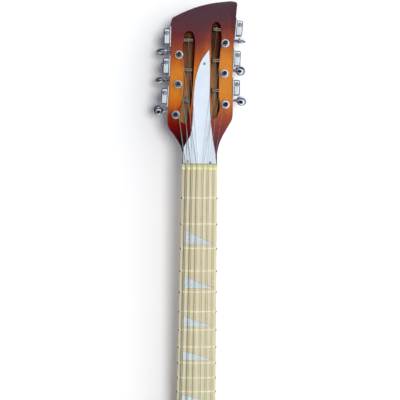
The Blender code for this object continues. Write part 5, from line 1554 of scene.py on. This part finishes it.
# Tailpiece: a plated plate with a slotted upright, screwed to the body. The strings lie in the
# upright's slots and their ball ends pull against its back.
TAIL_PLATE = (Vector((-0.0330, -0.0900)), Vector((0.0330, -0.0520)))
TAIL_WEB_Y = -0.0560
TAIL_WEB_THICKNESS = 0.0040
TAIL_WEB_TOP = 0.0425
TAIL_WEB_HALF_LENGTH = 0.0320
TAIL_SLOT_HEIGHT = 0.0060
TAIL_SLOT_PLAY = 0.0003
TAIL_ROUND = 0.0007
TAIL_SCREW_RADIUS = 0.0022
TAIL_CORNER = 0.006
TAIL_SCREWS = [(-0.0250, -0.0835), (0.0, -0.0835), (0.0250, -0.0835), (-0.0275, -0.0685), (0.0275, -0.0685)]
WEB_ROUND = [(0.0, 0.0008), (0.0003, 0.0002), (0.0008, 0.0)]


def make_tailpiece():
    low, high = TAIL_PLATE
    plate = slab("plate", rounded(low, high, TAIL_CORNER), PLATE_LOW, PLATE_HIGH, TAIL_ROUND, 3)
    rear = TAIL_WEB_Y - TAIL_WEB_THICKNESS
    foot = [(y, PLATE_HIGH - METAL_OVERLAP) for y in (rear, TAIL_WEB_Y)]
    crest = [(rear + step, TAIL_WEB_TOP - drop) for step, drop in WEB_ROUND]
    crest += [(TAIL_WEB_Y - step, TAIL_WEB_TOP - drop) for step, drop in reversed(WEB_ROUND)]
    floor = BODY_THICKNESS + TAIL_SLOT_HEIGHT - SEAT_GAP
    grooves = [(row["tail_x"], row["radius"] + TAIL_SLOT_PLAY, floor) for row in STRINGS]
    web = notched(-TAIL_WEB_HALF_LENGTH, TAIL_WEB_HALF_LENGTH, foot, crest, grooves)
    tail = painted(worked("tailpiece_plate", plate, join=[web]), CHROME)
    piece("tailpiece_plate", tail, "chrome", "tailpiece")
    places = [Vector((*spot, PLATE_HIGH)) for spot in TAIL_SCREWS]
    screws("tailpiece_screws", places, Z, TAIL_SCREW_RADIUS, "tailpiece")


make_tailpiece()


# Guard plate and controls: white plastic sheet with bevelled edges, screwed to the body round its
# rim. It carries four pots with black knobs and a three-way lever switch.
GUARD_OUTLINE = [
    (0.0520, 0.1580), (0.0470, 0.1400), (0.0465, 0.0600), (0.0475, -0.0300), (0.0520, -0.0700),
    (0.0640, -0.1040), (0.0920, -0.1190), (0.1240, -0.1040), (0.1460, -0.0660), (0.1510, -0.0280),
    (0.1390, 0.0140), (0.1180, 0.0580), (0.1100, 0.1040), (0.1080, 0.1400), (0.0860, 0.1630),
]
GUARD_SCREWS = 11
GUARD_SCREW_INSET = 0.0048
GUARD_BEVEL = 0.0006
COLLAR_RADIUS = 0.0042
SWITCH_COLLAR_RADIUS = 0.0056
SWITCH_BORE = 0.0034
KNOB_FLUTES = 20
KNOB_SECTIONS = [
    (0.0107, 0.0023, 0.0), (0.0110, 0.0026, 0.0), (0.0110, 0.0034, 0.0), (0.0106, 0.0040, 0.0),
    (0.0102, 0.0042, 0.0), (0.0101, 0.0048, 1.0), (0.0093, 0.0136, 1.0), (0.0091, 0.0144, 0.5),
    (0.0087, 0.0150, 0.0), (0.0081, 0.0153, 0.0), (0.0072, 0.0153, 0.0), (0.0069, 0.0149, 0.0),
]
FLUTE_DEPTH = 0.0007
POINTER = ((-0.0005, 0.0070, 0.0146), (0.0005, 0.0084, 0.01535), 0.0001, 1)
KNOB_SHAFT = (0.0030, -0.0097, 0.0040)
CAP_PROFILE = [(0.0, 0.0152), (0.0058, 0.0152), (0.0062, 0.0150), (0.0062, 0.0147), (0.0, 0.0147)]
POT_PROFILE = [
    (0.0, -0.0100), (SWITCH_BORE, -0.0100), (SWITCH_BORE, 0.0020), (COLLAR_RADIUS, 0.0020),
    (COLLAR_RADIUS, -0.0010), (0.0086, -0.0010), (0.0090, -0.0014), (0.0090, -0.0115), (0.0085, -0.0120),
    (0.0, -0.0120),
]
NUT_PLAY = 0.0001
POT_NUT = (0.0066, 0.0017)
DRESS_NUT_RADIUS = 0.0080
DRESS_NUT_KNURL = 0.035
DRESS_NUT_SECTIONS = [(0.0, 0.98), (0.0003, 1.0), (0.0018, 1.0), (0.0022, 0.96)]
LEVER_PROFILE = [
    (0.0, 0.0096), (0.0015, 0.0096), (0.00135, 0.0060), (0.00124, 0.00372), (0.0017, 0.0029),
    (0.0024, 0.0020), (0.0029, 0.0010), (0.0031, 0.0), (0.0029, -0.0011), (0.0022, -0.0022),
    (0.0010, -0.0029), (0.0, -0.0031),
]
TIP_PROFILE = [
    (0.0, 0.0170), (0.0008, 0.0168), (0.0016, 0.0162), (0.0022, 0.0150), (0.00232, 0.0138), (0.0021, 0.0112),
    (0.0018, 0.0094), (0.0014, 0.0090), (0.0, 0.0090),
]


def inset_places(line, count, inset, height):
    """Places spread evenly along a closed line, moved inward from it."""
    ends = line[1:] + line[:1]
    lengths = [(end - start).length for start, end in zip(line, ends)]
    step = sum(lengths) / count
    middle = sum(line, Vector((0.0, 0.0))) / len(line)
    places = []
    wanted = step / 3
    passed = 0.0
    for start, end, length in zip(line, ends, lengths):
        while passed + length > wanted and len(places) < count:
            along = (end - start) / length
            inward = Vector((-along.y, along.x))
            spot = start + along * (wanted - passed)
            if inward.dot(middle - spot) < 0:
                inward = -inward
            spot += inward * inset
            places.append(Vector((spot.x, spot.y, height)))
            wanted += step
        passed += length
    return places


def hexagon_nut(bore, outer, height):
    """A low hexagonal nut with chamfered corners, standing on z = 0."""
    nut = drum(outer, 0.0, height, 6)
    trimmer = turned([(0.0, height * 2), (outer * 0.86, height), (outer * 1.04, height * 0.7),
                      (outer * 1.04, -height), (0.0, -height)], 36)
    return worked("nut", nut, trim=[trimmer], cut=[drum(bore, -height, 3 * height, 24)])


def pot_mesh():
    return together("pot", [turned(POT_PROFILE), hexagon_nut(COLLAR_RADIUS + NUT_PLAY, *POT_NUT)])


def switch_mesh():
    half = SWITCH_CASE[0] / 2
    box = block((-half, -half, -SWITCH_CASE[1] - 0.0020), (half, half, -0.0010), 0.0008)
    collar = drum(SWITCH_COLLAR_RADIUS, -0.0020, 0.0030)
    case = worked("switch_case", box, join=[collar], cut=[drum(SWITCH_BORE, -0.0070, 0.0100)])
    rings = []
    for height, size in DRESS_NUT_SECTIONS:
        radii = (DRESS_NUT_RADIUS * size, DRESS_NUT_RADIUS * size * (1 - DRESS_NUT_KNURL))
        rings.append([polar(radii[i % 2], math.pi * i / 36, height) for i in range(72)])
    dress = worked("dress_nut", loft(rings), cut=[drum(SWITCH_COLLAR_RADIUS + NUT_PLAY, -BEYOND, BEYOND)])
    return together("switch", [case, dress])


def knob_mesh():
    """A fluted black knob on its steel shaft, with a metal cap and a white pointer line."""
    angles = [2 * math.pi * i / (KNOB_FLUTES * 6) for i in range(KNOB_FLUTES * 6)]
    rings = []
    for radius, height, flute in KNOB_SECTIONS:
        depth = FLUTE_DEPTH * flute
        rings.append([polar(radius - depth * max(0.0, math.cos(KNOB_FLUTES * angle)) ** 2, angle, height)
                      for angle in angles])
    return together("knob", [painted(loft(rings), BLACK), painted(turned(CAP_PROFILE), STEEL),
                             painted(block(*POINTER), WHITE_SHEET), painted(drum(*KNOB_SHAFT), STEEL)])


def lever_mesh():
    return together("lever", [painted(turned(LEVER_PROFILE, 24), CHROME),
                              painted(turned(TIP_PROFILE, 24), WHITE_SHEET)])


def make_controls():
    line = smooth_line(GUARD_OUTLINE)
    switch = Vector((*SWITCH_PLACE, PLATE_HIGH))
    holes = [moved(drum(SWITCH_COLLAR_RADIUS, -BEYOND, BEYOND), switch)]
    pots = [moved(switch_mesh(), switch)]
    for joint in frame["joints"]:
        if joint["name"].startswith("turn_knob_"):
            place = Vector(joint["pos_m"])
            knob = joint["child"]
            holes.append(moved(drum(COLLAR_RADIUS, -BEYOND, BEYOND), place))
            pots.append(moved(pot_mesh(), place))
            piece(f"{knob}_fluted", moved(knob_mesh(), place), "black_plastic", knob, body=knob)
    sheet = worked("guard", slab("guard", line, PLATE_LOW, PLATE_HIGH, GUARD_BEVEL, 2), cut=holes)
    piece("guard_plate", painted(sheet, WHITE_SHEET), "white_plastic", "pickguard")
    piece("pots_and_switch", painted(together("pots", pots), CHROME), "chrome", "pickguard")
    places = inset_places(line, GUARD_SCREWS, GUARD_SCREW_INSET, PLATE_HIGH)
    screws("guard_screws", places, Z, SMALL_SCREW_RADIUS, "pickguard")
    lever = moved(lever_mesh(), switch)
    piece("switch_lever", lever, "white_plastic", "selector_switch", body="selector_switch")


make_controls()


# Strap pins: a turned button screwed into the bass horn, and at the tail a jack in a turned housing
# that is also a strap pin. Both are plated.
STRAP_SCREW_RADIUS = 0.0032
STRAP_SCREW_HEIGHT = 0.0113
STRAP_PROFILE = [
    (0.0, 0.0112), (0.0036, 0.0112), (0.0040, 0.0121), (0.0052, 0.0125), (0.0069, 0.0124),
    (0.0075, 0.0117), (0.0074, 0.0102), (0.0062, 0.0089), (0.0046, 0.0074), (0.0038, 0.0062),
    (0.0042, 0.0050), (0.0056, 0.0036), (0.0068, 0.0026), (0.0070, 0.0019), (0.0070, 0.0003),
    (0.0020, 0.0003), (0.0020, -0.0172), (0.0008, -0.0180), (0.0, -0.0180),
]
JACK_PROFILE = [
    (0.0033, 0.0132), (0.0037, 0.0138), (0.0086, 0.0138), (0.0090, 0.0134), (0.0090, 0.0108),
    (0.0086, 0.0102), (0.0064, 0.0090), (0.0058, 0.0082), (0.0058, 0.0023), (0.0101, 0.0023),
    (0.0105, 0.0019), (0.0105, 0.0003), (0.0060, 0.0003), (0.0060, -0.0340), (0.0, -0.0340),
    (0.0, -0.0262), (0.0033, -0.0262),
]


def make_strap_pins():
    button = painted(moved(turned(STRAP_PROFILE, 40), HORN_PLACE), CHROME)
    piece("strap_button_turned", button, "chrome", "strap_button")
    places = [HORN_PLACE @ Vector((0.0, 0.0, STRAP_SCREW_HEIGHT))]
    screws("strap_screw", places, HORN_PLACE.to_3x3() @ Z, STRAP_SCREW_RADIUS, "strap_button")
    jack = painted(moved(turned(JACK_PROFILE, 40, loop=True), TAIL_PLACE), CHROME)
    piece("jack_turned", jack, "chrome", "end_pin_jack")


make_strap_pins()


# Strings: six pairs of steel wire, of which the thick ones are overwound: the outer strings of the four
# lower courses and the inner ones of the lowest two. Each runs from its brass ball end over its saddle
# and the nut to its post, winds round it, and ends through the post's hole.
WOUND_FROM = 0.00042
WRAP_PITCH = 0.00045
BALL_RADIUS = 0.0019
BALL_Y = TAIL_WEB_Y - TAIL_WEB_THICKNESS - SEAT_GAP - BALL_RADIUS
BALL_BORE = 0.0007
SADDLE_BREAK = (-0.0008, 0.0001)


def wound_wire():
    """Nickel wrap: fine ridges across the string, read along its own length, with painted shade in the
    grooves between them.
    """
    material, tree, shader, where = new_finish("wound_wire", Metallic=0.6)
    along = add(tree, "ShaderNodeAttribute", attribute_name="along").outputs["Fac"]
    ridge = calc(tree, "SINE", calc(tree, "MULTIPLY", along, 2 * math.pi / WRAP_PITCH))
    tone = noise(tree, where, 80.0)
    colour = ramp(tree, tone, [(0.3, 150, 148, 140), (0.7, 182, 180, 172)])
    # Painted shade: the grooves between the turns are mixed darker.
    connect(shader, {"Base Color": mixed(tree, between(tree, ridge, -1.0, 0.2, 0.35, 0.0), colour,
                                         seen(120, 118, 110)),
                     "Roughness": between(tree, tone, 0.3, 0.7, 0.30, 0.45)})
    relief(tree, shader, ridge, 0.4, 0.0001)
    return material


def string_route(row):
    """A string from its ball end over the saddle and the nut, as far as it runs straight."""
    radius = row["radius"]
    slot_z = BODY_THICKNESS + TAIL_SLOT_HEIGHT + radius
    crest_z = string_height(row["bridge_x"], 0.0, radius)
    break_y, break_drop = SADDLE_BREAK
    return [
        Vector((row["tail_x"], BALL_Y + BALL_RADIUS * 0.6, slot_z)),
        Vector((row["tail_x"], TAIL_WEB_Y + SEAT_GAP, slot_z)),
        Vector((row["bridge_x"], break_y, crest_z - break_drop)),
        Vector((row["bridge_x"], 0.0, crest_z)),
        Vector((row["nut_x"], NUT_Y, string_height(row["nut_x"], NUT_Y, radius))),
        behind_nut(row),
    ]


def wire_tree():
    """A round wire along a line, which keeps its length in metres as "along"."""
    tree, given, result = geometry_tree(
        "wire", [("Radius", "Float"), ("Sides", "Int"), ("Finish", "Material")])
    line = add(tree, "GeometryNodeMeshToCurve", {"Mesh": given["Geometry"]})
    length = tree.nodes.new("GeometryNodeSplineParameter").outputs["Length"]
    kept = add(tree, "GeometryNodeStoreNamedAttribute",
               {"Geometry": line.outputs[0], "Name": "along", "Value": length},
               data_type="FLOAT", domain="POINT")
    circle = add(tree, "GeometryNodeCurvePrimitiveCircle",
                 {"Resolution": given["Sides"], "Radius": given["Radius"]})
    tube = add(tree, "GeometryNodeCurveToMesh",
               {"Curve": kept.outputs[0], "Profile Curve": circle.outputs[0], "Fill Caps": True})
    return close_tree(tree, result, tube.outputs[0], given["Finish"])


WIRE = wire_tree()
WOUND_WIRE = wound_wire()
PLAIN_WIRE = toned("plain_wire", [(0.3, 150, 152, 148), (0.7, 182, 184, 178)], 80.0, (0.22, 0.38),
                   Metallic=0.6)
BRASS = toned("brass", [(0.3, 176, 140, 74), (0.7, 206, 172, 100)], 400.0, (0.2, 0.4), Metallic=1.0)


def wire(points, radius, sides=10):
    """A string's wire, wound or plain by its gauge."""
    mesh = bpy.data.meshes.new("line")
    mesh.from_pydata(points, [(i, i + 1) for i in range(len(points) - 1)], [])
    finish = WOUND_WIRE if 2 * radius > WOUND_FROM else PLAIN_WIRE
    return closed(grown("wire", mesh, WIRE, {"Radius": radius, "Sides": sides, "Finish": finish}))


def ball_mesh():
    """A brass ball end: a grooved barrel along X with a hole."""
    out = BALL_RADIUS
    half = [(BALL_BORE, out), (out - 0.0004, out), (out, out - 0.0004), (out, out * 0.45),
            (out * 0.72, out * 0.2)]
    shape = half + [(radius, -height) for radius, height in reversed(half)]
    return painted(moved(turned(shape, 20, loop=True), Matrix.Rotation(math.pi / 2, 4, "Y")), BRASS)


def make_strings():
    """The strings of each course, and the short end of each one in its post's hole."""
    courses = {}
    for row in STRINGS:
        straight = string_route(row)
        turns, last, angle = wind(row)
        radius = row["radius"]
        parts = courses.setdefault(len(STRING_GAUGES) - row["course"], [])
        parts.append(wire(straight + turns, radius))
        parts.append(moved(ball_mesh(), Vector((row["tail_x"], BALL_Y, straight[0].z))))
        name = row["post"]
        inward = -polar(POST_RADIUS + radius, angle)
        end = [TUNER_PLACES[name] @ (last + inward * share) for share in (0.0, 0.3, 1.0, 2.25)]
        piece(f"string_end_{name}", wire(end, radius, 8), "strings", body=f"post_{name}")
    for number, parts in courses.items():
        name = f"strings_{number}"
        piece(name, together(name, parts), "strings", f"string_course_{number}", crease=60.0)


make_strings()


# Setting: a plain white floor under the guitar as it really rests, on its lower bout and on the
# buttons behind the head, with soft light from the right and a camera over the head and the neck.
CAMERA_PLACE = Vector((-0.0359, NUT_Y + 0.1668, BOARD_TOP + 0.8834))
CAMERA_TILT = (math.radians(13.05), math.radians(2.32), math.radians(-0.38))
CAMERA_FOCUS = 737.16
PICTURE_WIDTH = 400
SENSOR = 36.0
FLOOR_GAP = 0.0006
FLOOR_SIZE = 8.0
SHADE_SIDE = -0.035
SHADE_END = NUT_Y + 0.088
SHADE_COLOUR = (0.07, 0.07, 0.08, 1.0)
LAMPS = [
    ("key", Vector((0.185, 0.13, 0.974)), 1.78, math.radians(18.0)),
    ("side", Vector((0.58, 0.16, 0.80)), 1.30, math.radians(62.0)),
]
WHITE = (1.0, 1.0, 1.0, 1.0)
FLOOR_GLOW = (0.80, 0.80, 0.80, 1.0)
FILL_COLOUR = (0.172, 0.182, 0.208, 1.0)


def floor_slope():
    """How far the floor falls per metre towards the head, so that the lowest buttons stand on it."""
    boxes = [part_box(name) for name in frame["nodes"]]
    return max((FLOOR_GAP - low.z) / (low.y - BODY_TAIL_Y) for low, high in boxes
               if low.z < 0 and high.y > BODY_TAIL_Y)


def make_floor():
    """A white floor; the plating mirrors it darker beside the head, and it lights the rest a little less."""
    slope = floor_slope()
    half = FLOOR_SIZE / 2
    corners = [(x, y, -FLOOR_GAP - slope * (y - BODY_TAIL_Y)) for x, y in
               ((-half, -half), (half, -half), (half, half), (-half, half))]
    mesh = bpy.data.meshes.new("floor")
    mesh.from_pydata(corners, [], [(0, 1, 2, 3)])
    material = bpy.data.materials.new("white_floor")
    material.use_nodes = True
    tree = material.node_tree
    tree.nodes.remove(tree.nodes["Principled BSDF"])
    rays = tree.nodes.new("ShaderNodeLightPath").outputs
    shown = calc(tree, "MAXIMUM", rays["Is Camera Ray"],
                 calc(tree, "MAXIMUM", rays["Is Glossy Ray"], rays["Is Transmission Ray"]))
    white = mixed(tree, shown, FLOOR_GLOW, WHITE)
    place = tree.nodes.new("ShaderNodeNewGeometry").outputs["Position"]
    sideways, along, _ = add(tree, "ShaderNodeSeparateXYZ", {0: place}).outputs
    beside = calc(tree, "MULTIPLY", calc(tree, "LESS_THAN", sideways, SHADE_SIDE),
                  calc(tree, "GREATER_THAN", along, SHADE_END))
    shade = calc(tree, "MULTIPLY", rays["Is Glossy Ray"], beside)
    matt = add(tree, "ShaderNodeBsdfDiffuse", {"Color": mixed(tree, shade, white, SHADE_COLOUR)})
    connect(tree.nodes["Material Output"], {"Surface": matt.outputs[0]})
    linked("floor", painted(mesh, material))


def make_light():
    """Two suns and an even fill; the plating mirrors a bright screen overhead with dark bands."""
    world = bpy.data.worlds.new("studio")
    bpy.context.scene.world = world
    world.use_nodes = True
    tree = world.node_tree
    where = tree.nodes.new("ShaderNodeTexCoord").outputs["Generated"]
    rightward, _, up = add(tree, "ShaderNodeSeparateXYZ", {0: where}).outputs
    rays = tree.nodes.new("ShaderNodeLightPath").outputs
    mirrored = calc(tree, "MAXIMUM", rays["Is Glossy Ray"], rays["Is Transmission Ray"])
    overhead = ramp(tree, up, [
        (0.00, 232, 236, 244), (0.08, 232, 236, 244), (0.14, 30, 34, 44), (0.52, 30, 34, 44),
        (0.60, 252, 253, 255), (0.90, 252, 253, 255), (0.93, 52, 55, 66), (1.00, 30, 32, 42)])
    overhead = mixed(tree, between(tree, rightward, -0.55, 0.05, 0.22, 1.0), seen(8, 9, 12), overhead)
    level = mixed(tree, mirrored, FILL_COLOUR, overhead)
    connect(tree.nodes["Background"], {"Color": mixed(tree, rays["Is Camera Ray"], level, WHITE)})
    for name, direction, strength, size in LAMPS:
        sun = bpy.data.lights.new(name, "SUN")
        sun.energy = strength
        sun.angle = size
        lamp = linked(name, sun)
        lamp.visible_glossy = False
        lamp.matrix_world = direction.to_track_quat("Z", "Y").to_matrix().to_4x4()


def make_camera():
    camera = bpy.data.cameras.new("camera")
    camera.sensor_width = SENSOR
    camera.lens = CAMERA_FOCUS / PICTURE_WIDTH * SENSOR
    camera.clip_start = 0.05
    camera.clip_end = 50.0
    holder = linked("camera", camera)
    turn = Matrix.Identity(3)
    for angle, axis in zip(CAMERA_TILT, "XYZ"):
        turn = Matrix.Rotation(angle, 3, axis) @ turn
    holder.matrix_world = Matrix.Translation(CAMERA_PLACE) @ turn.transposed().to_4x4()
    bpy.context.scene.camera = holder


make_floor()
make_light()
make_camera()
bpy.context.scene.view_settings.view_transform = "Standard"
